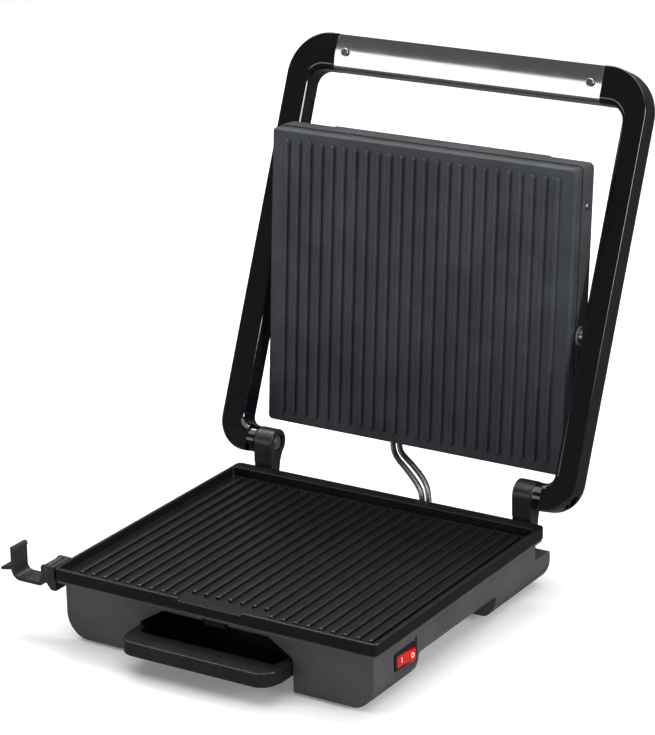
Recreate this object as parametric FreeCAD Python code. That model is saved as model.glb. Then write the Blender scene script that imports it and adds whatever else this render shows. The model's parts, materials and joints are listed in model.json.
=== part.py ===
"""Contact grill (panini press) with a tilting upper plate, drip tray, rocker switch and storage latch.

Millimetres. +X is the user's right, +Y the back, +Z up. The origin is on the table, under the centre of
the lower grill plate's rim. The model stands open: the hoop leans back on its stop.
"""
import FreeCAD, Part
import math
import os

Vector = FreeCAD.Vector
X_AXIS, Y_AXIS, Z_AXIS = Vector(1, 0, 0), Vector(0, 1, 0), Vector(0, 0, 1)

# ---- clearances --------------------------------------------------------------------------------
RUN = 0.05              # radial, a part that turns on a pin
PLAY = 0.3              # end play and side gap beside a part that turns
SLIDE = 0.6             # each side, a part that slides by hand
ASSEMBLY = 0.15         # radial, a screw in its through hole
FOLD_GAP = 0.7          # between the closed lid and the lower rim, and round the latched arm

# ---- lower plate and base ----------------------------------------------------------------------
RIM_W = 310.0           # lower plate over its rim
RIM_D = 276.0
RIM_TOP = 64.0          # rim above the table
RIM_R = 5.0             # corner radius of the rim
RIM_BAND = 10.0         # height of the visible plate band
PLATE_WALL = 3.0
PLATE_FLOOR = 2.5
PAN_DEPTH = 8.5         # rim top down to the plate's floor
FLANGE = 12.5           # flat flange along the back of the lower plate
RIB_PITCH = 11.6
RIB_W = 4.2
RIB_H = 3.0
RIB_MARGIN = 13.0       # rib end to the pan's wall
SPOUT_RIBS = 7          # middle ribs that stop short for the drain
SPOUT_SETBACK = 12.0
SPOUT_W = 62.0          # notch in the front wall
SPOUT_DROP = 2.6        # how far the notch lowers the wall
DRAIN_W = 22.0          # drain slot in the floor
DRAIN_D = 8.0
DRAIN_WALL = 2.0
DRAIN_DROP = 9.0        # drain nozzle below the plate

TUB_WALL = 2.5
TUB_SETBACK = 7.0       # tub wall inside the rim
LIP_H = 2.0             # tub's upper flange
LIP_INSET = 1.0
FOOT_H = 2.0            # rubber feet below the tub
REAR_FOOT_IN = 15.5     # rear feet close to the back, so the open lid can't tip the base over
TUB_SIDE_R = 22.0       # rounding under both sides
FRONT_BLOCK = 69.0      # depth of the full-height front block
ARCH_TOP = 26.0         # underside between the front block and the rear legs
REAR_LEG_IN = 73.0      # front face of the rear legs ahead of the rim's back
REAR_LEG_W = 45.0
REAR_REACH = 22.0       # rear box beyond the rim
REAR_TOP = 32.0
REAR_R = 6.0            # rounding under the back
VENTS = 9
VENT_W = 3.0
VENT_L = 44.0
VENT_PITCH = 12.0

# ---- drip tray ---------------------------------------------------------------------------------
BAY_W = 147.0           # opening in the front wall
BAY_TOP = 31.5
BAY_BACK = 8.0          # bay's rear wall ahead of the front block's rear face
RAIL_H = 2.0
RAIL_W = 4.5
TRAY_TOP = 30.0
TRAY_RIM = 2.0
TRAY_WALL = 1.8
TRAY_DEEP = 17.0
TRAY_REACH = 35.0       # lip in front of the tub
TRAY_LIP = 19.0         # flat part of the lip
TRAY_SKIRT = 12.0
TRAY_CORNER = 15.0
RECESS_TAPER = 23.0     # finger recess over the tray: narrower at the top by this, each side
RECESS_TOP = 46.0
RECESS_DEEP = 26.0

# ---- rocker switch -----------------------------------------------------------------------------
SWITCH_FROM_FRONT = 48.6
SWITCH_Z = 30.4
POCKET_L, POCKET_H, POCKET_DEEP = 36.0, 22.6, 1.6
BEZEL_L, BEZEL_H, BEZEL_T = 31.0, 15.0, 1.4
SWITCH_BODY_L, SWITCH_BODY_H, SWITCH_BODY_DEEP = 28.4, 12.6, 18.0
ROCKER_L, ROCKER_H = 25.0, 9.8
ROCKER_TILT = 10.0      # degrees each way from level
ROCKER_PIVOT_DEEP = 4.0
ROCKER_STEM = 7.0       # rocker below its axis
ROCKER_DISH = 1.2
TRUNNION_R = 1.2

# ---- hinge towers and bolts --------------------------------------------------------------------
PIVOT_BACK = 14.5       # hoop axis behind the rim
PIVOT_UP = 19.0         # hoop axis above the rim
TOWER_W = 18.5
TOWER_R = 12.5
TOWER_FOOT_D = 14.0
TOWER_STEP = 0.9        # foot set in below the line just above the rim
LEDGE_T = 6.0
LEDGE_DROP = 2.0        # ledge top below the tub lip's top
BOLT_R = 4.0
BOLT_HEAD_R, BOLT_HEAD_T = BOLT_R + 1.0, 3.0
NUT_R, NUT_T = BOLT_R + 2.0, 3.6         # across the flats, halved; thickness
NUT_POCKET_R, NUT_POCKET = NUT_R + 1.6, 5.0
WASHER_R, WASHER_T = BOLT_R + 7.0, 0.6

# ---- hoop --------------------------------------------------------------------------------------
HOOP_LEAN = 22.9        # degrees past vertical when open
ARM_GAP = 5.0           # arm to lid
ARM_W = 22.0            # along X
ARM_T = 24.0            # front to back
TOWER_TO_ARM = 16.0     # outer face of the tower to the arm's inner face
HUB_R = 12.0
ELBOW_R = 28.0          # outside bend beside the tower
ELBOW_IN_R = 8.0
HANDLE_AHEAD = 78.5     # handle beyond the front rim when the grill is shut
TOP_BAR_H = 33.0
BEND_R = 40.0           # outside bend below the handle
BEND_IN_R = 14.0
SOFT_EDGE, CRISP_EDGE = 6.5, 1.2
GRIP_FROM_ARM = 23.0    # steel sleeve's end inside the arm's inner face
GRIP_SKIN = 1.0
GRIP_CROWN = 2.6        # how far the sleeve's front bulges
GRIP_SCREW_IN = 11.0
SPIGOT = 26.0           # core that plugs into each arm
COVER_W, COVER_T, COVER_SINK = 16.0, 2.0, 0.6
COVER_FROM, COVER_SHORT = 34.0, 61.0     # from the hoop axis, and short of the handle's top
CHANNEL_WALL = 4.0

# ---- lid ---------------------------------------------------------------------------------------
LID_LEAN = 4.65         # degrees past vertical when open
LID_PIVOT_BACK = 12.5   # lid pivot behind the middle of the shut lid
LID_NARROWER, LID_SHORTER = 8.0, 7.0     # lid inside the lower rim, both sides together
LID_PLATE_INSET = 1.0
LID_PLATE_H = 11.0
LID_DEEP = 33.0         # plate face to the back of the housing
LID_R = 4.0
LID_BACK_R = 3.2
LID_WALL = 2.5
LID_FACE_T = 3.0
LID_RIB_MARGIN = 9.0
PANEL_IN, PANEL_RISE, PANEL_FROM = 43.0, 5.0, 34.0
PANEL_SKIN = 2.2
STUD_R = 4.0
BUSH_R, BUSH_L = 5.8, 13.0
STUD_BOSS = 12.0

# ---- latch -------------------------------------------------------------------------------------
LATCH_W = 18.6          # along Y
LATCH_FROM_FRONT = 4.0
LATCH_AXIS_OUT = 9.0   # axis outside the rim
LATCH_AXIS_DROP = 3.0   # axis below the rim top
LATCH_T = 3.4
LATCH_PIN_R = 1.6
LATCH_EYE_R = 3.4
LATCH_CHEEK = 3.0
LATCH_TAB = 11.0
LATCH_BARB = 1.2        # bead on the hook's lip, over the arm's rounded edge

# ---- heating, wiring and conduits --------------------------------------------------------------
ELEMENT_R = 3.25
SHIELD_T = 0.8
SHIELD_DEEP = 11.0
BOSS_R, POST_R = 4.5, 6.0
POST_IN = 32.0          # posts in from the tub's sides
POST_FRONT, POST_BACK = 35.0, 42.0       # from the tub's front, and ahead of the rim's back
SCREW_R, SCREW_HEAD_R, SCREW_HEAD_T = 2.0, 3.8, 2.4
CONDUIT_R = 2.6
CONDUIT_PITCH = 2 * CONDUIT_R + 1.3     # between the two, side by side
CONDUIT_STEP = CONDUIT_R / 1.3          # one runs this far above and behind the other
BASE_CONDUIT_X, LID_CONDUIT_X = 30.0, -31.0
GLAND_BORE_R = 3.6

# ---- places worked out from the sizes above ----------------------------------------------------
HALF_W, HALF_D = RIM_W / 2, RIM_D / 2
LID_W, LID_L = RIM_W - LID_NARROWER, RIM_D - LID_SHORTER
PAN_FLOOR_Z = RIM_TOP - PAN_DEPTH
PLATE_UNDER_Z = PAN_FLOOR_Z - PLATE_FLOOR
TUB_X = HALF_W - TUB_SETBACK
TUB_FRONT, TUB_BACK = -HALF_D + TUB_SETBACK, HALF_D - TUB_SETBACK + 2.5
TUB_TOP = PLATE_UNDER_Z
REAR_END = HALF_D + REAR_REACH
BLOCK_BACK = TUB_FRONT + FRONT_BLOCK
REAR_LEG_Y = HALF_D - REAR_LEG_IN
SWITCH_Y = TUB_FRONT + SWITCH_FROM_FRONT
PIVOT_Y, PIVOT_Z = HALF_D + PIVOT_BACK, RIM_TOP + PIVOT_UP
HOOP_TOP = PIVOT_Y + HALF_D + HANDLE_AHEAD
LID_REACH = PIVOT_Y - LID_PIVOT_BACK
COVER_TO = HOOP_TOP - COVER_SHORT
ARM_IN = LID_W / 2 + ARM_GAP
ARM_OUT = ARM_IN + ARM_W
GRIP_HALF = ARM_IN - GRIP_FROM_ARM
PANEL_HALF = LID_W / 2 - PANEL_IN
TOWER_OUT = ARM_IN - TOWER_TO_ARM
TOWER_IN = TOWER_OUT - TOWER_W
LEDGE_TOP = TUB_TOP - LEDGE_DROP + LIP_H
LID_PIVOT_DEEP = PIVOT_Z - RIM_TOP - FOLD_GAP
LID_PIVOT_UP = LID_L / 2 - (PIVOT_Y - LID_REACH)
LATCH_X, LATCH_Z = -HALF_W - LATCH_AXIS_OUT, RIM_TOP - LATCH_AXIS_DROP
LATCH_Y0 = -HALF_D + LATCH_FROM_FRONT
LATCH_Y1 = LATCH_Y0 + LATCH_W

PLANES = {
    "XY": (lambda u, v, w: Vector(u, v, w), Z_AXIS),
    "XZ": (lambda u, v, w: Vector(u, w, v), Y_AXIS),
    "YZ": (lambda u, v, w: Vector(w, u, v), X_AXIS),
}


# ---- building blocks ---------------------------------------------------------------------------
def box(x0, x1, y0, y1, z0, z1):
    return Part.makeBox(x1 - x0, y1 - y0, z1 - z0, Vector(x0, y0, z0))


def rod_x(radius, x0, x1, y, z):
    return Part.makeCylinder(radius, x1 - x0, Vector(x0, y, z), X_AXIS)


def rod_y(radius, y0, y1, x, z):
    return Part.makeCylinder(radius, y1 - y0, Vector(x, y0, z), Y_AXIS)


def rod_z(radius, z0, z1, x, y):
    return Part.makeCylinder(radius, z1 - z0, Vector(x, y, z0), Z_AXIS)


def fuse(shapes):
    shapes = list(shapes)
    whole = shapes[0].multiFuse(shapes[1:]) if len(shapes) > 1 else shapes[0]
    return whole.removeSplitter()


def cut(shape, tools):
    for tool in tools:
        shape = shape.cut(tool)
    return shape


def slab(corners, plane, low, high):
    """Prism from low to high across a plane, over an outline of corners (u, v, radius)."""
    point, axis = PLANES[plane]
    count = len(corners)
    turns = []
    for i, (u, v, radius) in enumerate(corners):
        here = Vector(u, v, 0)
        back = (Vector(*corners[i - 1][:2], 0) - here).normalize()
        on = (Vector(*corners[(i + 1) % count][:2], 0) - here).normalize()
        half = back.getAngle(on) / 2
        reach = radius / math.tan(half)
        crown = here + (back + on).normalize() * (radius / math.sin(half) - radius)
        turns.append((here + back * reach, crown, here + on * reach, radius))
    edges = []
    for i, (start, crown, end, radius) in enumerate(turns):
        first, middle, last = (point(p.x, p.y, low) for p in (start, crown, end))
        if radius > 0:
            edges.append(Part.Arc(first, middle, last).toShape())
        following = turns[(i + 1) % count][0]
        following = point(following.x, following.y, low)
        if last.distanceToPoint(following) > 1e-6:
            edges.append(Part.makeLine(last, following))
    return Part.Face(Part.Wire(edges)).extrude(axis * (high - low))


def rounded(u0, u1, v0, v1, radius):
    return [(u0, v0, radius), (u1, v0, radius), (u1, v1, radius), (u0, v1, radius)]


def both_sides(shape):
    """The right-hand part and its mirror image on the left."""
    return [shape, shape.mirror(Vector(0, 0, 0), X_AXIS)]


def round_edges(shape, radius, wanted):
    edges = [edge for edge in shape.Edges if wanted(edge)]
    return shape.makeFillet(radius, edges)


def bounds_test(edge, axis, value, tolerance=0.01):
    """Whether the whole edge lies at one value along an axis (0, 1 or 2)."""
    b = edge.BoundBox
    low, high = ((b.XMin, b.XMax), (b.YMin, b.YMax), (b.ZMin, b.ZMax))[axis]
    return abs(low - value) < tolerance and abs(high - value) < tolerance


def path_wire(points, radii):
    """Straight runs through the points, joined by tangent arcs of the given radii."""
    edges, last = [], points[0]
    for before, here, after, radius in zip(points, points[1:], points[2:], radii):
        back, on = (before - here).normalize(), (after - here).normalize()
        half = back.getAngle(on) / 2
        reach = radius / math.tan(half)
        crown = here + (back + on).normalize() * (radius / math.sin(half) - radius)
        start, end = here + back * reach, here + on * reach
        edges += [Part.makeLine(last, start), Part.Arc(start, crown, end).toShape()]
        last = end
    edges.append(Part.makeLine(last, points[-1]))
    return Part.Wire(edges)


def tube(points, radii, radius):
    wire = path_wire(points, radii)
    section = Part.Wire(Part.makeCircle(radius, points[0], points[1] - points[0]))
    return wire.makePipeShell([section], True, False)


def screw_shape(length, radius, head_radius, head_height):
    """Pan-head screw along +Z, its head's underside at zero and the head below it, with a cross slot."""
    head = Part.makeCylinder(head_radius, head_height, Vector(0, 0, -head_height))
    head = round_edges(head, head_height * 0.45, lambda e: bounds_test(e, 2, -head_height))
    slot = head_radius * 0.62
    arms = [box(-slot, slot, -0.45, 0.45, -head_height - 1, -head_height * 0.45),
            box(-0.45, 0.45, -slot, slot, -head_height - 1, -head_height * 0.45)]
    return cut(fuse([head, Part.makeCylinder(radius, length)]), arms)


def placed(shape, position, turns=()):
    """A copy turned by (axis, degrees) pairs in order, then moved to a position."""
    shape = shape.copy()
    for axis, degrees in turns:
        shape.rotate(Vector(0, 0, 0), axis, degrees)
    shape.translate(position)
    return shape


# ---- frames of the leaning sub-assemblies ------------------------------------------------------
def on_hoop(shape):
    """From the upright hoop frame (hoop axis at zero, Z along the arms, Y to the back)."""
    return placed(shape, Vector(0, PIVOT_Y, PIVOT_Z), [(X_AXIS, -HOOP_LEAN)])


def on_lid(shape):
    """From the upright lid frame (bottom edge at Z zero, plate face at Y zero, Y to the back)."""
    lean = math.radians(HOOP_LEAN)
    pivot = Vector(0, PIVOT_Y + LID_REACH * math.sin(lean), PIVOT_Z + LID_REACH * math.cos(lean))
    shape = placed(shape, Vector(0, -LID_PIVOT_DEEP, -LID_PIVOT_UP))
    return placed(shape, pivot, [(X_AXIS, -LID_LEAN)])


# ---- lower plate -------------------------------------------------------------------------------
def ribs(count, low_v, high_v, plane, base, top, setback=0.0, short=0):
    """Round-ended ribs side by side; the middle few stop short at their low end."""
    made = []
    for i in range(count):
        x = (i - (count - 1) / 2) * RIB_PITCH
        middle = abs(i - (count - 1) / 2) <= (short - 1) / 2
        start = low_v + (setback if middle else 0.0)
        outline = rounded(x - RIB_W / 2, x + RIB_W / 2, start, high_v, RIB_W / 2 - 0.01)
        rib = slab(outline, plane, min(base, top), max(base, top))
        axis = 2 if plane == "XY" else 1
        made.append(round_edges(rib, 1.3, lambda e: bounds_test(e, axis, top)))
    return made


def lower_plate_shape():
    block = slab(rounded(-HALF_W, HALF_W, -HALF_D, HALF_D, RIM_R), "XY", PLATE_UNDER_Z, RIM_TOP)
    block = round_edges(block, 0.8, lambda e: bounds_test(e, 2, RIM_TOP))
    inner = rounded(-HALF_W + PLATE_WALL, HALF_W - PLATE_WALL, -HALF_D + PLATE_WALL, HALF_D - FLANGE, 3.0)
    pan = slab(inner, "XY", PAN_FLOOR_Z, RIM_TOP + 1)
    under_rim = slab(rounded(-HALF_W - 1, HALF_W + 1, -HALF_D - 1, HALF_D + 1, RIM_R), "XY",
                     PLATE_UNDER_Z - 1, RIM_TOP - RIM_BAND)
    seat = rounded(-HALF_W + PLATE_WALL, HALF_W - PLATE_WALL, -HALF_D + PLATE_WALL,
        HALF_D - PLATE_WALL, 3.0)
    under_rim = under_rim.cut(slab(seat, "XY", PLATE_UNDER_Z - 2, RIM_TOP))
    under_flange = box(-HALF_W + 2 * PLATE_WALL, HALF_W - 2 * PLATE_WALL, HALF_D - FLANGE + PLATE_WALL,
                       HALF_D - 2 * PLATE_WALL, PLATE_UNDER_Z - 1, RIM_TOP - PLATE_WALL)
    notch = slab(rounded(-SPOUT_W / 2, SPOUT_W / 2, RIM_TOP - SPOUT_DROP, RIM_TOP + 5, 2.0), "XZ",
                 -HALF_D - 1, -HALF_D + PLATE_WALL + 1)
    plate = cut(block, [pan, under_rim, under_flange, notch])
    lower_ribs = ribs(2 * int((HALF_W - PLATE_WALL - RIB_MARGIN) / RIB_PITCH + 0.35) + 1,
                      -HALF_D + PLATE_WALL + RIB_MARGIN, HALF_D - FLANGE - 4.0, "XY",
                      PAN_FLOOR_Z - 0.5, PAN_FLOOR_Z + RIB_H, SPOUT_SETBACK, SPOUT_RIBS)
    nozzle = slab(drain_outline(DRAIN_WALL), "XY", PLATE_UNDER_Z - DRAIN_DROP, PAN_FLOOR_Z - 0.5)
    bosses = [rod_z(BOSS_R, PLATE_UNDER_Z - 7, PAN_FLOOR_Z - 0.5, x, y) for x, y in post_places()]
    plate = fuse([plate, nozzle] + bosses + lower_ribs)
    drain = slab(drain_outline(0.0), "XY", PLATE_UNDER_Z - DRAIN_DROP - 1, PAN_FLOOR_Z + 1)
    holes = [rod_z(SCREW_R + ASSEMBLY, PLATE_UNDER_Z - 8, PLATE_UNDER_Z - 0.5, x, y) for x,
        y in post_places()]
    return cut(plate, [drain] + holes)


def drain_outline(grow):
    y0 = -HALF_D + PLATE_WALL + 4.0
    radius = DRAIN_D / 2 - 0.05 + grow
    return rounded(-DRAIN_W / 2 - grow, DRAIN_W / 2 + grow, y0 - grow, y0 + DRAIN_D + grow, radius)


def post_places():
    post_x = TUB_X - POST_IN
    return [(x, y) for x in (-post_x, post_x) for y in (TUB_FRONT + POST_FRONT, HALF_D - POST_BACK)]


# ---- base tub ----------------------------------------------------------------------------------
def tub_body(inset):
    """The closed outer form of the tub, or its cavity when inset by the wall."""
    x, low, r = TUB_X - inset, FOOT_H + inset, TUB_SIDE_R - inset
    top = TUB_TOP - LIP_H + (LIP_H + 3 if inset else 0)
    front_view = [(-x, low, r), (x, low, r), (x, top, 0), (-x, top, 0)]
    arch = ARCH_TOP + inset
    front, back, end = TUB_FRONT + inset, TUB_BACK - inset, REAR_END - inset
    side_view = [
        (front, low, 1.5), (BLOCK_BACK - inset, low, 12 - inset), (BLOCK_BACK - inset, arch, 3),
        (REAR_LEG_Y + inset, arch, 3), (REAR_LEG_Y + inset, low, 8), (end, low, REAR_R - inset),
        (end, REAR_TOP - inset, 2), (back, REAR_TOP - inset, 0), (back, top, 0), (front, top, 0)]
    body = slab(front_view, "XZ", TUB_FRONT - 5, REAR_END + 5).common(slab(side_view, "YZ", -HALF_W,
        HALF_W))
    tunnel = TUB_X - REAR_LEG_W + inset
    return body.cut(slab(rounded(-tunnel, tunnel, low - 20, arch, 6.0), "XZ", REAR_LEG_Y - 5,
        REAR_END + 5))


def recess_outline(grow):
    """Front view of the finger recess: as wide as the bay below, sloping in to its top."""
    half, top = BAY_W / 2 + grow, RECESS_TOP + grow
    low = BAY_TOP - (grow if grow else 0.0)
    return [(-half, low, 0), (half, low, 0),
            (half - RECESS_TAPER, top, 6.0), (RECESS_TAPER - half, top, 6.0)]


def base_tub_shape():
    bay_x, wall = BAY_W / 2, TUB_WALL
    bay_end = BLOCK_BACK - BAY_BACK
    recess_back = TUB_FRONT + RECESS_DEEP
    posts = [rod_z(POST_R, FOOT_H + 0.5, PLATE_UNDER_Z - 7, x, y) for x, y in post_places()]
    cavity = cut(tub_body(wall), [
        box(-bay_x - wall, bay_x + wall, TUB_FRONT - 1, bay_end + wall, 0, BAY_TOP + wall),
        slab(recess_outline(wall), "XZ", TUB_FRONT - 40, recess_back + wall)] + posts)
    lip_x, lip_y = HALF_W - LIP_INSET, HALF_D - LIP_INSET
    lip = slab(rounded(-lip_x, lip_x, -lip_y, lip_y, RIM_R - 1), "XY", TUB_TOP - LIP_H, TUB_TOP)
    ledges = both_sides(slab([(TUB_BACK - wall, LEDGE_TOP - LEDGE_T - 12, 0),
        (TUB_BACK, LEDGE_TOP - LEDGE_T - 12, 0),
                              (PIVOT_Y + 2, LEDGE_TOP - LEDGE_T, 2), (PIVOT_Y + 2, LEDGE_TOP, 0),
                              (TUB_BACK - wall, LEDGE_TOP, 0)], "YZ", TOWER_IN - 3, TOWER_OUT + 3))
    conduit_ledge = slab([(TUB_BACK - wall, LEDGE_TOP - 18, 0), (TUB_BACK, LEDGE_TOP - 18, 0),
                          (conduit_y() + 7, LEDGE_TOP - LEDGE_T, 2), (conduit_y() + 7, LEDGE_TOP, 0),
                          (TUB_BACK - wall, LEDGE_TOP, 0)], "YZ", base_conduit_x()[0] - 8,
                          base_conduit_x()[1] + 8)
    behind_lip = box(-HALF_W, HALF_W, HALF_D - LIP_INSET, REAR_END, TUB_TOP - LIP_H - 0.01, TUB_TOP + 20)
    tub = fuse([tub_body(0.0), lip] + ledges + [conduit_ledge.cut(behind_lip)])
    tub = tub.cut(cavity)
    rails = both_sides(box(bay_x - RAIL_W, bay_x + 0.5, TUB_FRONT + 1.0, bay_end + 0.5,
                           TRAY_TOP - TRAY_RIM - RAIL_H - 0.3, TRAY_TOP - TRAY_RIM - 0.3))
    spout_room = slab(drain_outline(DRAIN_WALL + 1.0), "XY", RECESS_TOP - 1, TUB_TOP + 1)
    tub = cut(tub, [
        box(-bay_x, bay_x, TUB_FRONT - 1, bay_end, -1, BAY_TOP + 0.01),
        slab(recess_outline(0.0), "XZ", TUB_FRONT - 40, recess_back), spout_room])
    tub = fuse([tub] + rails)
    switch_hole = box(TUB_X - wall - 1, TUB_X + 1, SWITCH_Y - SWITCH_BODY_L / 2 - ASSEMBLY,
                      SWITCH_Y + SWITCH_BODY_L / 2 + ASSEMBLY, SWITCH_Z - SWITCH_BODY_H / 2 - ASSEMBLY,
                      SWITCH_Z + SWITCH_BODY_H / 2 + ASSEMBLY)
    pocket_corners = rounded(SWITCH_Y - POCKET_L / 2, SWITCH_Y + POCKET_L / 2,
                             SWITCH_Z - POCKET_H / 2, SWITCH_Z + POCKET_H / 2, 1.0)
    pocket = slab(pocket_corners, "YZ", TUB_X - POCKET_DEEP, TUB_X + 1)
    backing = slab(rounded(SWITCH_Y - POCKET_L / 2 - 2, SWITCH_Y + POCKET_L / 2 + 2,
        SWITCH_Z - POCKET_H / 2 - 2,
                           SWITCH_Z + POCKET_H / 2 + 2, 2.0), "YZ", TUB_X - wall - POCKET_DEEP,
                           TUB_X - wall + 0.5)
    tub = cut(fuse([tub, backing.common(tub_body(0.5))]), [pocket, box_deeper(switch_hole)])
    screw_holes = []
    for x, y in post_places():
        screw_holes.append(rod_z(SCREW_R + ASSEMBLY, FOOT_H, PLATE_UNDER_Z, x, y))
        screw_holes.append(rod_z(SCREW_HEAD_R + 0.5, -1, PLATE_UNDER_Z - 17, x, y))
    for x in tower_screw_x():
        screw_holes.append(rod_z(SCREW_R + ASSEMBLY, LEDGE_TOP - 20, LEDGE_TOP + 1, x, tower_screw_y()))
        screw_holes.append(rod_z(SCREW_HEAD_R + 0.5, LEDGE_TOP - 30, LEDGE_TOP - LEDGE_T + 2, x,
        tower_screw_y()))
    vents = [slab(rounded((i - (VENTS - 1) / 2) * VENT_PITCH - VENT_W / 2,
        (i - (VENTS - 1) / 2) * VENT_PITCH
                          + VENT_W / 2, -VENT_L / 2, VENT_L / 2, VENT_W / 2 - 0.01), "XY", ARCH_TOP - 1,
                  ARCH_TOP + wall + 1) for i in range(VENTS)]
    conduit_holes = [rod_z(CONDUIT_R + ASSEMBLY, LEDGE_TOP - 40, LEDGE_TOP + 1, x, conduit_y())
                     for x in base_conduit_x()]
    gland_hole = rod_y(gland_radius(), REAR_END - wall - 1, REAR_END + 1, gland_x(), gland_z())
    return cut(tub, screw_holes + vents + conduit_holes + [gland_hole])


def box_deeper(shape):
    """The same box, stretched inwards to clear the switch's backing."""
    b = shape.BoundBox
    return box(b.XMin - POCKET_DEEP - 2, b.XMax, b.YMin, b.YMax, b.ZMin, b.ZMax)


def tower_screw_x():
    middle = (TOWER_IN + TOWER_OUT) / 2
    return [-middle, middle]


def tower_screw_y():
    return HALF_D + 9.0


def conduit_y():
    return HALF_D + 9.5


def base_conduit_x():
    return [BASE_CONDUIT_X, BASE_CONDUIT_X + CONDUIT_PITCH]


def lid_conduit_x():
    return [LID_CONDUIT_X, LID_CONDUIT_X + CONDUIT_PITCH]


def gland_x():
    return TUB_X - REAR_LEG_W / 2 - 2.0


def gland_z():
    return REAR_TOP - 9.5


def gland_radius():
    return 5.4


# ---- the rest of the base ----------------------------------------------------------------------
def feet_shapes():
    places = [(x, y) for x in (36.0 - TUB_X, TUB_X - 36.0)
              for y in (TUB_FRONT + 16.0, REAR_END - REAR_FOOT_IN)]
    feet = []
    for x, y in places:
        foot = Part.makeCone(7.0, 8.0, FOOT_H, Vector(x, y, 0), Z_AXIS)
        feet.append(foot.cut(rod_z(2.2, -1, 0.8, x, y)))
    return feet


def tower_shape():
    """Right-hand hinge tower: a barrel on a tapered leg, screwed down to the tub's ledge."""
    front, foot_top = PIVOT_Y - TOWER_R, RIM_TOP + 2.0
    leg = slab([(front, foot_top, 0), (PIVOT_Y + 3.5, foot_top, 0), (PIVOT_Y + TOWER_R, PIVOT_Z, 0),
                (front, PIVOT_Z, 0)], "YZ", TOWER_IN, TOWER_OUT)
    foot = slab([(front + TOWER_STEP, LEDGE_TOP, 0), (PIVOT_Y + 0.5, LEDGE_TOP, 0),
                 (PIVOT_Y + 3.2, foot_top, 0), (front + TOWER_STEP, foot_top, 0)], "YZ",
                TOWER_IN + 0.4, TOWER_OUT - 0.4)
    barrel = rod_x(TOWER_R, TOWER_IN, TOWER_OUT, PIVOT_Y, PIVOT_Z)
    upper = round_edges(fuse([leg, barrel]), 1.2, lambda e: (bounds_test(e, 0, TOWER_IN) or
                        bounds_test(e, 0, TOWER_OUT)) and e.BoundBox.ZMax > foot_top + 1)
    tower = fuse([upper, foot])
    return cut(tower, [
        rod_x(BOLT_R + ASSEMBLY, TOWER_IN - 1, TOWER_OUT + 1, PIVOT_Y, PIVOT_Z),
        rod_x(NUT_POCKET_R, TOWER_IN - 1, TOWER_IN + NUT_POCKET, PIVOT_Y, PIVOT_Z),
        rod_z(SCREW_R + ASSEMBLY, LEDGE_TOP - 1, LEDGE_TOP + 12, tower_screw_x()[1], tower_screw_y())])


def bolt_shape():
    """Right-hand hinge bolt: head inside the elbow's recess, shank through hub and tower."""
    head_in = bolt_head_x()
    head = rod_x(BOLT_HEAD_R, head_in, head_in + BOLT_HEAD_T, PIVOT_Y, PIVOT_Z)
    head = round_edges(head, 0.8, lambda e: bounds_test(e, 0, head_in + BOLT_HEAD_T))
    socket = slab([(PIVOT_Y + 2.4 * math.cos(math.radians(60 * k)),
        PIVOT_Z + 2.4 * math.sin(math.radians(60 * k)), 0)
                   for k in range(6)], "YZ", head_in + 1.0, head_in + BOLT_HEAD_T + 1)
    shank = rod_x(BOLT_R, TOWER_IN + 1.0, head_in, PIVOT_Y, PIVOT_Z)
    return fuse([head.cut(socket), shank])


def bolt_head_x():
    return ARM_IN + 8.0


def nut_shape():
    seat = TOWER_IN + NUT_POCKET
    corners = [(PIVOT_Y + NUT_R * math.cos(math.radians(60 * k)) / math.cos(math.radians(30)),
                PIVOT_Z + NUT_R * math.sin(math.radians(60 * k)) / math.cos(math.radians(30)),
                0) for k in range(6)]
    ring = slab(corners, "YZ", seat - NUT_T, seat)
    return ring.cut(rod_x(BOLT_R + 0.001, seat - NUT_T - 1, seat + 1, PIVOT_Y, PIVOT_Z))


def washer_shape():
    ring = rod_x(WASHER_R, TOWER_OUT, TOWER_OUT + WASHER_T, PIVOT_Y, PIVOT_Z)
    return ring.cut(rod_x(BOLT_R + ASSEMBLY, TOWER_OUT - 1, TOWER_OUT + WASHER_T + 1, PIVOT_Y, PIVOT_Z))


def plate_screws():
    length = 14.0
    screw = screw_shape(length, SCREW_R, SCREW_HEAD_R, SCREW_HEAD_T)
    return [placed(screw, Vector(x, y, PLATE_UNDER_Z - 17)) for x, y in post_places()]


def tower_screws():
    screw = screw_shape(14.0, SCREW_R, SCREW_HEAD_R, SCREW_HEAD_T)
    return [placed(screw, Vector(x, tower_screw_y(), LEDGE_TOP - LEDGE_T + 2)) for x in tower_screw_x()]


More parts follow.
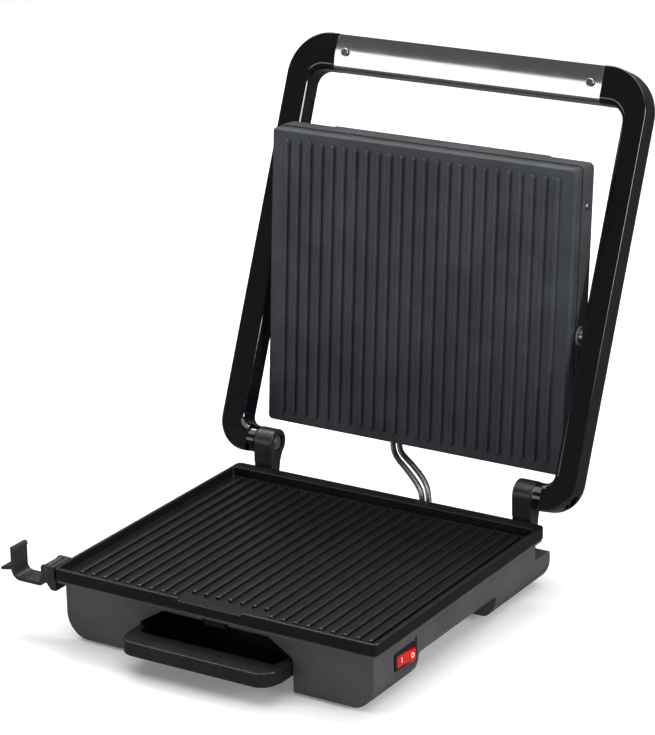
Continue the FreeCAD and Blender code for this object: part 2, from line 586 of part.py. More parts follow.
def switch_body_shape():
    seat = TUB_X - POCKET_DEEP
    frame_corners = rounded(SWITCH_Y - BEZEL_L / 2, SWITCH_Y + BEZEL_L / 2,
                            SWITCH_Z - BEZEL_H / 2, SWITCH_Z + BEZEL_H / 2, 1.0)
    bezel = round_edges(slab(frame_corners, "YZ", seat, seat + BEZEL_T), 0.5,
                        lambda e: bounds_test(e, 0, seat + BEZEL_T))
    can = box(seat - SWITCH_BODY_DEEP, seat + 0.2, SWITCH_Y - SWITCH_BODY_L / 2,
        SWITCH_Y + SWITCH_BODY_L / 2,
              SWITCH_Z - SWITCH_BODY_H / 2, SWITCH_Z + SWITCH_BODY_H / 2)
    tabs = [box(seat - SWITCH_BODY_DEEP - 7, seat - SWITCH_BODY_DEEP + 1, SWITCH_Y + dy - 0.4,
        SWITCH_Y + dy + 0.4,
                SWITCH_Z - 2.4, SWITCH_Z + 2.4) for dy in (-7.0, 7.0)]
    well = box(seat - 13.5, seat + BEZEL_T + 1, SWITCH_Y - ROCKER_L / 2 - PLAY,
        SWITCH_Y + ROCKER_L / 2 + PLAY,
               SWITCH_Z - ROCKER_H / 2 - PLAY, SWITCH_Z + ROCKER_H / 2 + PLAY)
    pivot = rod_z(TRUNNION_R + RUN, SWITCH_Z - trunnion_half() - PLAY, SWITCH_Z + trunnion_half() + PLAY,
                  seat - ROCKER_PIVOT_DEEP, SWITCH_Y)
    return cut(fuse([bezel, can] + tabs), [well, pivot])


def trunnion_half():
    return ROCKER_H / 2 + 0.8


def rocker_shape():
    """Rocker at rest with its front end pressed in; it turns about Z on trunnions in the switch body.

    Each end slopes by the tilt, so the pressed end stands straight along the well's wall.
    """
    tilt = math.radians(ROCKER_TILT)
    half = ROCKER_L / 2 / math.cos(tilt)
    face = (ROCKER_PIVOT_DEEP + BEZEL_T + half * math.sin(tilt)) / math.cos(tilt)
    end = half - face * math.tan(tilt)
    level = [(-ROCKER_STEM, -4.0, 1.0), (0, -half, 0.4), (face, -end, 0.6),
        (face - ROCKER_DISH, 0.0, 20.0),
             (face, end, 0.6), (0, half, 0.4), (-ROCKER_STEM, 4.0, 1.0)]
    body = slab(level, "XY", -ROCKER_H / 2, ROCKER_H / 2)
    body = fuse([body, rod_z(TRUNNION_R, -trunnion_half(), trunnion_half(), 0, 0)])
    return placed(body, Vector(TUB_X - POCKET_DEEP - ROCKER_PIVOT_DEEP, SWITCH_Y, SWITCH_Z),
                  [(Z_AXIS, -ROCKER_TILT)])


def gland_shape():
    """Strain-relief bush for the mains lead, in the rear wall of the base."""
    collar = rod_y(gland_radius() + 2.0, REAR_END, REAR_END + 2.0, gland_x(), gland_z())
    neck = rod_y(gland_radius() - 0.02, REAR_END - TUB_WALL - 6, REAR_END + 0.5, gland_x(), gland_z())
    nose = Part.makeCone(gland_radius(), gland_radius() - 0.8, 12.0,
        Vector(gland_x(), REAR_END + 1.5, gland_z()), Y_AXIS)
    bore = rod_y(GLAND_BORE_R, REAR_END - TUB_WALL - 7, REAR_END + 15, gland_x(), gland_z())
    return fuse([collar, neck, nose]).cut(bore)


def element_shape(half_width, low, high, runs):
    """Sheathed heating element: a flat serpentine in the XY plane at zero height."""
    xs = [half_width * (2 * i / (runs - 1) - 1) for i in range(runs)]
    bend = (xs[1] - xs[0]) / 2
    points = []
    for i, x in enumerate(xs):
        ends = (low, high) if i % 2 == 0 else (high, low)
        points += [Vector(x, ends[0], 0), Vector(x, ends[1], 0)]
    return tube(points, [bend - 0.01] * (len(points) - 2), ELEMENT_R)


def shield_shape(half_width, low, high):
    """Heat shield pan: open upwards, its edge at zero height."""
    outside = slab(rounded(-half_width, half_width, low, high, 10.0), "XY", -SHIELD_DEEP, 0)
    inside = slab(rounded(-half_width + SHIELD_T, half_width - SHIELD_T, low + SHIELD_T, high - SHIELD_T,
                          10.0 - SHIELD_T), "XY", -SHIELD_DEEP + SHIELD_T, 1)
    return outside.cut(inside)


def cutout_shape(height=9.0):
    """Disc thermostat or fuse with two tab terminals, its sensing face at zero height."""
    disc = rod_z(8.0, -height, 0, 0, 0)
    cap = rod_z(6.0, -height - 2, -height + 1, 0, 0)
    tabs = [box(x - 2.4, x + 2.4, -0.4, 0.4, -height - 8, -height + 0.5) for x in (-3.2, 3.2)]
    return fuse([disc, cap] + tabs)


def terminal_block_shape():
    z0 = ARCH_TOP + TUB_WALL
    body = box(-24, 24, -8, 8, z0, z0 + 9.5)
    holes = [rod_z(2.4, z0 + 4, z0 + 11, x, 0) for x in (-16, 0, 16)]
    ways = [rod_y(1.7, -9, 9, x, z0 + 3.4) for x in (-16, 0, 16)]
    return placed(cut(body, holes + ways), Vector(62, 40, 0))


# ---- latch -------------------------------------------------------------------------------------
def latch_bracket_shape():
    y0, y1 = LATCH_Y0 - LATCH_CHEEK, LATCH_Y1 + LATCH_CHEEK
    outline = [(-HALF_W - 0.4, LATCH_Z + 3.0, 0), (-HALF_W - 0.4, TUB_TOP, 0),
        (-HALF_W + LIP_INSET, TUB_TOP, 0),
               (-HALF_W + LIP_INSET, TUB_TOP - LIP_H - 8.0, 0),
               (-HALF_W - 4.0, TUB_TOP - LIP_H - 8.0, 2.0),
               (LATCH_X - 4.6, LATCH_Z - 6.0, 2.0), (LATCH_X - 4.6, LATCH_Z + 3.0, 2.5)]
    body = slab(outline, "XZ", y0, y1)
    slot = [(LATCH_X + 5.0, LATCH_Z + 9, 0), (LATCH_X + 5.0, LATCH_Z - 5.5, 2.0),
        (LATCH_X - 2.0, LATCH_Z - 19, 0),
            (LATCH_X - 20, LATCH_Z - 19, 0), (LATCH_X - 20, LATCH_Z + 9, 0)]
    room = slab(slot, "XZ", LATCH_Y0 - PLAY, LATCH_Y1 + PLAY)
    bore = rod_y(LATCH_PIN_R, y0 - 1, y1 + 1, LATCH_X, LATCH_Z)
    return cut(body, [room, bore])


def latch_hook_shape():
    """J-shaped storage hook, swung out: it turns up and over the closed arm."""
    arm_low = PIVOT_Z - ARM_T / 2
    depth = -(ARM_OUT + FOLD_GAP) - LATCH_X
    reach = PIVOT_Z + ARM_T / 2 + FOLD_GAP - LATCH_Z
    neck = arm_low - FOLD_GAP - LATCH_Z
    inner_z, inner_x = LATCH_Z + depth, LATCH_X - reach
    tip_z = LATCH_Z + 11.0
    t = LATCH_T
    outline = [
        (LATCH_X + 2.6, LATCH_Z, 0), (LATCH_X - 2.6, LATCH_Z, 0),
        (LATCH_X - neck + 1.0, inner_z + 4.0, 2.0),
        (LATCH_X - neck + 0.2, inner_z, 1.6), (inner_x, inner_z, 5.6), (inner_x, tip_z - 5, 0),
        (inner_x + LATCH_BARB, tip_z - 2.6, 0.4), (inner_x, tip_z, 0.4), (inner_x - t, tip_z, 1.2),
        (inner_x - t, inner_z + 9.0, 0), (inner_x - t - LATCH_TAB, inner_z + 5.5, 0.8),
        (inner_x - t - LATCH_TAB + 0.6, inner_z + 3.0, 0.8), (inner_x - t, inner_z + 5.0, 0),
        (inner_x - t, inner_z - t, 5.6 + t), (LATCH_X - neck + 3.0, inner_z - t, 6.0)]
    strip = slab(outline, "XZ", LATCH_Y0, LATCH_Y1)
    eye = rod_y(LATCH_EYE_R, LATCH_Y0, LATCH_Y1, LATCH_X, LATCH_Z)
    return fuse([strip, eye]).cut(rod_y(LATCH_PIN_R + RUN, LATCH_Y0 - 1, LATCH_Y1 + 1, LATCH_X, LATCH_Z))


# ---- drip tray ---------------------------------------------------------------------------------
def drip_tray_shape():
    half = BAY_W / 2 - SLIDE
    front, back = TUB_FRONT - TRAY_REACH, BLOCK_BACK - BAY_BACK - 1.2
    body_half = BAY_W / 2 - RAIL_W - SLIDE
    low = TRAY_TOP - TRAY_DEEP
    plan = [(-half, front, TRAY_CORNER), (half, front, TRAY_CORNER), (half, back, 3), (-half, back, 3)]
    rim = slab(plan, "XY", TRAY_TOP - TRAY_RIM, TRAY_TOP)
    skirt = slab(plan, "XY", TRAY_TOP - TRAY_SKIRT, TRAY_TOP - TRAY_RIM + 0.01)
    w = TRAY_WALL
    inner_plan = [(-half + w, front + w, TRAY_CORNER - w), (half - w, front + w, TRAY_CORNER - w),
                  (half - w, back, 2), (-half + w, back, 2)]
    skirt = cut(skirt, [slab(inner_plan, "XY", low - 5, TRAY_TOP),
                        box(-half - 1, half + 1, TUB_FRONT - 0.8, back + 1, low - 5, TRAY_TOP)])
    basin_front = front + TRAY_LIP
    basin = slab(rounded(-body_half, body_half, basin_front, back - 3, 8.0), "XY", low, TRAY_TOP - 0.5)
    hollow = slab(rounded(-body_half + w, body_half - w, basin_front + w, back - 3 - w, 8.0 - w), "XY",
                  low + w, TRAY_TOP + 1)
    tray = round_edges(fuse([rim, skirt]), 0.8, lambda e: bounds_test(e, 2, TRAY_TOP)
                       and e.BoundBox.YMin < TUB_FRONT - 1)
    return fuse([tray, basin]).cut(hollow)


# ---- hoop --------------------------------------------------------------------------------------
def arm_outline():
    """Right arm in the hoop's plane: hub, elbow, straight arm and top bend."""
    start = TOWER_OUT + WASHER_T + PLAY
    bar_low = HOOP_TOP - TOP_BAR_H
    return [(start, -HUB_R, 0), (ARM_OUT, -HUB_R, ELBOW_R), (ARM_OUT, HOOP_TOP, BEND_R),
        (GRIP_HALF, HOOP_TOP, 0),
            (GRIP_HALF, bar_low, 0), (ARM_IN, bar_low, BEND_IN_R), (ARM_IN, HUB_R, ELBOW_IN_R),
            (start, HUB_R, 0)]


def arm_solid():
    half = ARM_T / 2
    arm = slab(arm_outline(), "XZ", -half, half)
    start = TOWER_OUT + WASHER_T + PLAY

    def long_edge(edge, depth):
        b = edge.BoundBox
        if not bounds_test(edge, 1, depth):
            return None
        if bounds_test(edge, 0, start) or bounds_test(edge, 0, GRIP_HALF):
            return None
        outer = b.XMax > ARM_OUT - 0.01 or b.ZMin < -HUB_R + 0.01 or b.ZMax > HOOP_TOP - 0.01
        return "outer" if outer else "inner"
    front_inner = [e for e in arm.Edges if long_edge(e, -half) == "inner"]
    arm = arm.makeFillet(SOFT_EDGE, front_inner)
    back = [e for e in arm.Edges if long_edge(e, half)]
    arm = arm.makeFillet(SOFT_EDGE - 2.0, back)
    front_outer = [e for e in arm.Edges if long_edge(e, -half) == "outer"]
    arm = arm.makeFillet(CRISP_EDGE, front_outer)
    hub_zone = box(start - 1, ARM_IN - ELBOW_IN_R, -half - 1, half + 1, -HUB_R - 1, HUB_R + 1)
    hub_waste = hub_zone.cut(rod_x(HUB_R, start - 2, ARM_IN, 0, 0))
    return arm.cut(hub_waste)


def channel(low, high, depth):
    half = COVER_W / 2
    return slab(rounded(-half, half, low, high, half - 0.01), "YZ", ARM_IN - 1, ARM_IN + depth)


def arm_shape():
    arm = arm_solid()
    deep = ARM_W - CHANNEL_WALL
    seat = COVER_SINK + COVER_T
    spigot = spigot_shape(ASSEMBLY)
    return cut(arm, [
        channel(COVER_FROM, LID_REACH - STUD_BOSS, deep), channel(LID_REACH + STUD_BOSS, COVER_TO, deep),
        channel(COVER_FROM, COVER_TO, seat),
        rod_x(STUD_R, ARM_IN - 1, ARM_OUT - 6, 0, LID_REACH),
        rod_x(BOLT_R + RUN, TOWER_OUT, ARM_OUT, 0, 0),
        rod_x(BOLT_HEAD_R + 1.2, bolt_head_x() - PLAY, ARM_OUT + 1, 0, 0), spigot])


def cover_shape():
    strip = slab(rounded(-COVER_W / 2 + SLIDE / 4, COVER_W / 2 - SLIDE / 4, COVER_FROM + SLIDE / 4,
                         COVER_TO - SLIDE / 4, COVER_W / 2 - SLIDE / 4 - 0.01), "YZ",
                 ARM_IN + COVER_SINK, ARM_IN + COVER_SINK + COVER_T)
    return strip.cut(rod_x(STUD_R + 1.0, ARM_IN - 1, ARM_OUT, 0, LID_REACH))


def grip_section(inset):
    half_t, top, low = ARM_T / 2 - inset, HOOP_TOP - inset, HOOP_TOP - TOP_BAR_H + inset
    return [(-half_t + GRIP_CROWN, low, 6.0 - inset), (half_t, low, 6.0 - inset), (half_t, top, 6.0 - inset),
            (-half_t + GRIP_CROWN, top, 4.0 - inset), (-half_t, (low + top) / 2, 60.0 - inset)]


def grip_shape():
    outside = slab(grip_section(0.0), "YZ", -GRIP_HALF + 0.05, GRIP_HALF - 0.05)
    inside = slab(grip_section(GRIP_SKIN), "YZ", -GRIP_HALF - 1, GRIP_HALF + 1)
    screws = [rod_y(SCREW_R + ASSEMBLY, -ARM_T, 0, x, HOOP_TOP - TOP_BAR_H / 2) for x in grip_screw_x()]
    return cut(outside, [inside] + screws)


def spigot_shape(grow):
    middle = HOOP_TOP - TOP_BAR_H / 2
    return slab(rounded(-6.5 - grow, 6.5 + grow, middle - 9 - grow, middle + 9 + grow, 3.0 + grow), "YZ",
                GRIP_HALF - 1, GRIP_HALF + SPIGOT - 8 + grow)


def core_shape():
    bar = slab(grip_section(GRIP_SKIN + 0.02), "YZ", -GRIP_HALF + 0.05, GRIP_HALF - 0.05)
    half_t, low = ARM_T / 2, HOOP_TOP - TOP_BAR_H
    channel_room = box(-GRIP_HALF + 22, GRIP_HALF - 22, -half_t + 6, half_t + 1, low + 6, HOOP_TOP - 6)
    bar = fuse([bar.cut(channel_room)] + both_sides(spigot_shape(0.0)))
    pilots = [rod_y(SCREW_R + 0.001, -ARM_T, 3, x, HOOP_TOP - TOP_BAR_H / 2) for x in grip_screw_x()]
    return cut(bar, pilots)


def grip_screw_x():
    return [-GRIP_HALF + GRIP_SCREW_IN, GRIP_HALF - GRIP_SCREW_IN]


def grip_screws():
    screw = screw_shape(11.0, SCREW_R - 0.05, 3.6, 1.6)
    front = -ARM_T / 2
    return [placed(screw, Vector(x, front, HOOP_TOP - TOP_BAR_H / 2),
        [(X_AXIS, -90)]) for x in grip_screw_x()]


def stud_shape():
    """Right-hand lid pivot: pressed into the arm, turning in the lid's bush."""
    pin = rod_x(STUD_R, LID_W / 2 - BUSH_L + 1.0, ARM_OUT - 6, 0, LID_REACH)
    collar = rod_x(STUD_R + 3.0, LID_W / 2 + 1.0 + PLAY, ARM_IN, 0, LID_REACH)
    return fuse([pin, collar])


# ---- lid ---------------------------------------------------------------------------------------
def upper_plate_shape():
    half, low, high = LID_W / 2 - LID_PLATE_INSET, LID_PLATE_INSET, LID_L - LID_PLATE_INSET
    block = slab(rounded(-half, half, low, high, LID_R), "XZ", 0, LID_PLATE_H)
    face = [e for e in block.Edges if bounds_test(e, 1, 0)]
    block = block.makeChamfer(2.0, face)
    w = PLATE_WALL
    hollow = slab(rounded(-half + w, half - w, low + w, high - w, LID_R - w), "XZ", LID_FACE_T,
        LID_PLATE_H + 1)
    count = 2 * int((half - LID_RIB_MARGIN) / RIB_PITCH)
    upper_ribs = ribs(count, low + LID_RIB_MARGIN, high - LID_RIB_MARGIN, "XZ", 0.5, -RIB_H)
    return fuse([block.cut(hollow)] + upper_ribs)


def housing_body(inset, front):
    half, low, high = LID_W / 2 - inset, inset, LID_L - inset
    body = slab(rounded(-half, half, low, high, LID_R + 1 - inset), "XZ", front, LID_DEEP - inset)
    return round_edges(body, LID_BACK_R - inset, lambda e: bounds_test(e, 1, LID_DEEP - inset))


def lid_housing_shape():
    front = LID_PLATE_H + 0.4
    shell = housing_body(0.0, front).cut(housing_body(LID_WALL, front - 1))
    x = LID_W / 2
    ledge = slab(rounded(-x + 1, x - 1, 1, LID_L - 1, LID_R), "XZ", front, front + 2).cut(
        slab(rounded(-x + 7, x - 7, 7, LID_L - 7, LID_R - 4), "XZ", front - 1, front + 3))
    rings = both_sides(rod_x(BUSH_R + 3, x - BUSH_L, x - 1, LID_PIVOT_DEEP + 0.0, LID_PIVOT_UP))
    shell = fuse([shell, ledge] + [ring.common(housing_body(0.5, front)) for ring in rings])
    bush_holes = both_sides(rod_x(BUSH_R, x - BUSH_L - 2, x + 2, LID_PIVOT_DEEP, LID_PIVOT_UP))
    screw_holes = both_sides(rod_x(1.6, x - 9, x + 1, side_screw_deep(), side_screw_up()))
    conduits = [rod_z(CONDUIT_R + ASSEMBLY, -1, 20, xc, lid_conduit_deep()) for xc in lid_conduit_x()]
    panel_seat = slab(rounded(-PANEL_HALF + 4, PANEL_HALF - 4, PANEL_FROM + 4, LID_L - 22, 6), "XZ",
                      LID_DEEP - LID_WALL - 1, LID_DEEP + 1)
    return cut(shell, bush_holes + screw_holes + conduits + [panel_seat])


def side_screw_deep():
    return 20.5


def side_screw_up():
    return LID_L - 36.0


def lid_conduit_deep():
    return 21.0


def back_panel_shape():
    """Raised centre panel on the back of the lid, wrapping over the front edge of the housing."""
    top = LID_L - 0.5
    plan = [(-PANEL_HALF, PANEL_FROM, 10), (PANEL_HALF, PANEL_FROM, 10), (PANEL_HALF, top, 2.5),
            (-PANEL_HALF, top, 2.5)]
    panel = slab(plan, "XZ", LID_PLATE_H + 3.0, LID_DEEP + PANEL_RISE)
    panel = round_edges(panel, 2.0, lambda e: bounds_test(e, 1, LID_DEEP + PANEL_RISE))
    hollow = slab(rounded(-PANEL_HALF + 8, PANEL_HALF - 8, PANEL_FROM + 8, LID_L - 26, 8), "XZ",
                  LID_PLATE_H, LID_DEEP + PANEL_RISE - PANEL_SKIN)
    return cut(panel, [housing_body(0.0, LID_PLATE_H - 1), hollow])


def bush_shape():
    x = LID_W / 2
    body = rod_x(BUSH_R, x - BUSH_L, x, LID_PIVOT_DEEP, LID_PIVOT_UP)
    flange = rod_x(BUSH_R + 2.4, x, x + 1.0, LID_PIVOT_DEEP, LID_PIVOT_UP)
    return fuse([body, flange]).cut(rod_x(STUD_R + RUN, x - BUSH_L - 1, x + 2, LID_PIVOT_DEEP,
        LID_PIVOT_UP))


def side_screws():
    screw = screw_shape(8.0, 1.55, 3.0, 1.3)
    right = placed(screw, Vector(LID_W / 2, side_screw_deep(), side_screw_up()), [(Y_AXIS, -90)])
    return both_sides(right)


def conduit_clamp(xs, y):
    """Plate that holds both conduits where they enter, its seat at zero height."""
    outline = rounded(xs[0] - 6.0, xs[1] + 6.0, y - 5.2, y + 5.2, 5.0)
    clamp = slab(outline, "XY", 0, 3.0)
    clamp = round_edges(clamp, 0.8, lambda e: bounds_test(e, 2, 3.0))
    return cut(clamp, [rod_z(CONDUIT_R + 0.02, -1, 8, x, y) for x in xs])


# ---- conduits ----------------------------------------------------------------------------------
def lid_point(x, deep, up):
    vertex = on_lid(Part.Vertex(Vector(x, deep, up)))
    return vertex.Point


def conduit_route(index):
    """From inside the base ledge, up and across in an easy S, into the lid's lower end."""
    xb, xl = base_conduit_x()[index], lid_conduit_x()[index]
    start = Vector(xb, conduit_y(), LEDGE_TOP - LEDGE_T + 1)
    low = Vector(xb, conduit_y(), LEDGE_TOP + 11 + CONDUIT_STEP * index)
    high, end = lid_point(xl, lid_conduit_deep(), -9.5), lid_point(xl, lid_conduit_deep(), 11.0)
    middle = [low * (1 - along) + high * along + Vector(0, CONDUIT_STEP * index, lift + CONDUIT_STEP * index)
              for along, lift in ((0.175, 3.0), (0.57, 0.0), (0.85, -4.0))]
    return [start, low] + middle + [high, end]


def bend_radii(points):
    """Largest easy arc at each corner: 0.45 of the shorter run over the tangent of half the turn."""
    radii = []
    for before, here, after in zip(points, points[1:], points[2:]):
        turn = math.pi - (before - here).getAngle(after - here)
        shorter = min(before.distanceToPoint(here), after.distanceToPoint(here))
        radii.append(0.45 * shorter / math.tan(turn / 2))
    return radii


def conduit_shape(index):
    points = conduit_route(index)
    radii = bend_radii(points)
    print("conduit", index, "radii", [round(r, 1) for r in radii], "length",
    round(path_wire(points, radii).Length, 1))
    return tube(points, radii, CONDUIT_R)


# ---- all nodes ---------------------------------------------------------------------------------
def heating(frame, under, half, low, high, shield):
    """Element, shield and cut-out hung on a plate's back face, in that plate's frame."""
    element = frame(placed(element_shape(half, low, high, 6), Vector(0, 0, under - ELEMENT_R)))
    pan = frame(placed(shield_shape(*shield), Vector(0, 0, under)))
    return element, pan


def lid_flat(shape):
    """From a flat frame (Z down away from the plate) to the upright lid frame."""
    return on_lid(placed(shape, Vector(0, 0, 0), [(X_AXIS, 90)]))


def nodes():
    made = {}
    made["base_tub"] = [base_tub_shape()]
    made["lower_grill_plate"] = [lower_plate_shape()]
    half, low, high = TUB_X - 52.0, -HALF_D + 50.0, HALF_D - 40.0
    made["lower_heating_element"], made["lower_heat_shield"] = [[s] for s in heating(
        lambda s: s, PLATE_UNDER_Z, half, low, high, (TUB_X - POST_IN - POST_R - 4.0,
        -HALF_D + 38.0, HALF_D - 28.0))]
    made["thermostat"] = [placed(cutout_shape(), Vector(-TUB_X + 18.0, 20.0, PLATE_UNDER_Z))]
    made["terminal_block"] = [terminal_block_shape()]
    made["rubber_feet"] = feet_shapes()
    made["plate_screws"] = plate_screws()
    made["right_hinge_tower"], made["left_hinge_tower"] = [[s] for s in both_sides(tower_shape())]
    made["tower_screws"] = tower_screws()
    made["hinge_bolts"] = both_sides(bolt_shape())
    made["hinge_nuts"] = both_sides(nut_shape())
    made["hinge_washers"] = both_sides(washer_shape())
    made["switch_body"] = [switch_body_shape()]
    made["switch_rocker"] = [rocker_shape()]
    made["cord_gland"] = [gland_shape()]
    made["latch_bracket"] = [latch_bracket_shape()]
    made["latch_pin"] = [rod_y(LATCH_PIN_R - 0.001, LATCH_Y0 - LATCH_CHEEK + 0.4,
        LATCH_Y1 + LATCH_CHEEK - 0.4,
                               LATCH_X, LATCH_Z)]
    made["latch_hook"] = [latch_hook_shape()]
    made["drip_tray"] = [drip_tray_shape()]

    made["right_arm_shell"], made["left_arm_shell"] = [[on_hoop(s)] for s in both_sides(arm_shape())]
    made["right_arm_cover"], made["left_arm_cover"] = [[on_hoop(s)] for s in both_sides(cover_shape())]
    made["handle_core"] = [on_hoop(core_shape())]
    made["handle_grip"] = [on_hoop(grip_shape())]
    made["grip_screws"] = [on_hoop(s) for s in grip_screws()]
    made["lid_pivot_studs"] = [on_hoop(s) for s in both_sides(stud_shape())]

    made["lid_housing"] = [on_lid(lid_housing_shape())]
    made["lid_back_panel"] = [on_lid(back_panel_shape())]
    made["upper_grill_plate"] = [on_lid(upper_plate_shape())]
    lid_half = LID_W / 2 - 45.0
    made["upper_heating_element"], made["upper_heat_shield"] = [[s] for s in heating(
        lid_flat, -LID_FACE_T, lid_half, 40.0, LID_L - 40.0, (LID_W / 2 - 30.0, 28.0, LID_L - 28.0))]
    made["thermal_fuse"] = [lid_flat(placed(cutout_shape(6.0),
        Vector(-LID_W / 2 + 16.0, 60.0, -LID_FACE_T)))]
    made["lid_pivot_bushes"] = [on_lid(s) for s in both_sides(bush_shape())]
    made["lid_side_screws"] = [on_lid(s) for s in side_screws()]

    made["base_conduit_clamp"] = [placed(conduit_clamp(base_conduit_x(), conduit_y()),
        Vector(0, 0, LEDGE_TOP))]
    made["lid_conduit_clamp"] = [on_lid(placed(conduit_clamp(lid_conduit_x(), -lid_conduit_deep()),
                                               Vector(0, 0, 0), [(X_AXIS, 180)]))]
    made["left_conduit"], made["right_conduit"] = [[conduit_shape(i)] for i in (1, 0)]
    return made


os.makedirs("parts", exist_ok=True)
for name, solids in nodes().items():
    whole = solids[0] if len(solids) == 1 else Part.makeCompound(solids)
    if not whole.isValid() or any(s.Volume <= 0 for s in whole.Solids) or len(whole.Solids) != len(solids):
        raise ValueError(f"{name}: valid {whole.isValid()}, {len(whole.Solids)} of {len(solids)} solids")
    whole.exportStep(f"parts/{name}.step")
    print(name, len(whole.Solids), round(whole.Volume / 1000, 2), "cm3")
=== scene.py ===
"""Contact grill with a tilting upper plate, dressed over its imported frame.

The frame gives every rigid piece its shape and place. This script gives each one its finish, winds the two
steel conduits between the base and the lid, marks the rocker, and sets up a plain light studio.
"""
import json
import logging
import math
from dataclasses import dataclass, field
from enum import Enum
from typing import Dict, List, Optional, Sequence, Tuple

import bmesh
import bpy
from mathutils import Matrix, Vector

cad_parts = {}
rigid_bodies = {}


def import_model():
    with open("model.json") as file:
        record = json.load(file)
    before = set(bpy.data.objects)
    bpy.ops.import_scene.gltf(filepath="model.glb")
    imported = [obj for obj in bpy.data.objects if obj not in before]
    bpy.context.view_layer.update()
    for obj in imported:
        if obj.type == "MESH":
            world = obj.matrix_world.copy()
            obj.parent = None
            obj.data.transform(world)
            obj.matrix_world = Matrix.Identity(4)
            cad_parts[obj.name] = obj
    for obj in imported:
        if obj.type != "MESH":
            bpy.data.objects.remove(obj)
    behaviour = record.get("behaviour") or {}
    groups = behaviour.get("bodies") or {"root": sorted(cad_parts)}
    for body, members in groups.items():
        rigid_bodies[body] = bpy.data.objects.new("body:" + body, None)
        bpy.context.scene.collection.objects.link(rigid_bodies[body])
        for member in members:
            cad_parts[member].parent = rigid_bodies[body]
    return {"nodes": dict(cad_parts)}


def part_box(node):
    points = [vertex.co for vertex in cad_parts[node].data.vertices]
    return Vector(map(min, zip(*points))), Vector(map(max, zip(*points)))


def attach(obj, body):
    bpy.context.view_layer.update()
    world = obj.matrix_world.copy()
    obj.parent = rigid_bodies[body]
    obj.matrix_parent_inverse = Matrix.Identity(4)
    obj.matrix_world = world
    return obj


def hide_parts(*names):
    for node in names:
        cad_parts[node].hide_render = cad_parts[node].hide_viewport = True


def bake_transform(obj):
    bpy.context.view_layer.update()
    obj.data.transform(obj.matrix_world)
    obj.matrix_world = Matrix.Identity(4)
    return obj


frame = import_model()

LOG = logging.getLogger("contact_grill")
Colour = Tuple[float, float, float]
MILLIMETRE = 0.001


class Brushing(Enum):
    """Which way a metal's fine scratches run."""

    ALONG_X = (0.02, 1.0, 1.0)
    ALONG_Y = (1.0, 0.02, 1.0)
    EVEN = (1.0, 1.0, 1.0)


class RockerMark(Enum):
    """The two generic marks of a mains rocker."""

    ON = "rocker_mark_on"
    OFF = "rocker_mark_off"


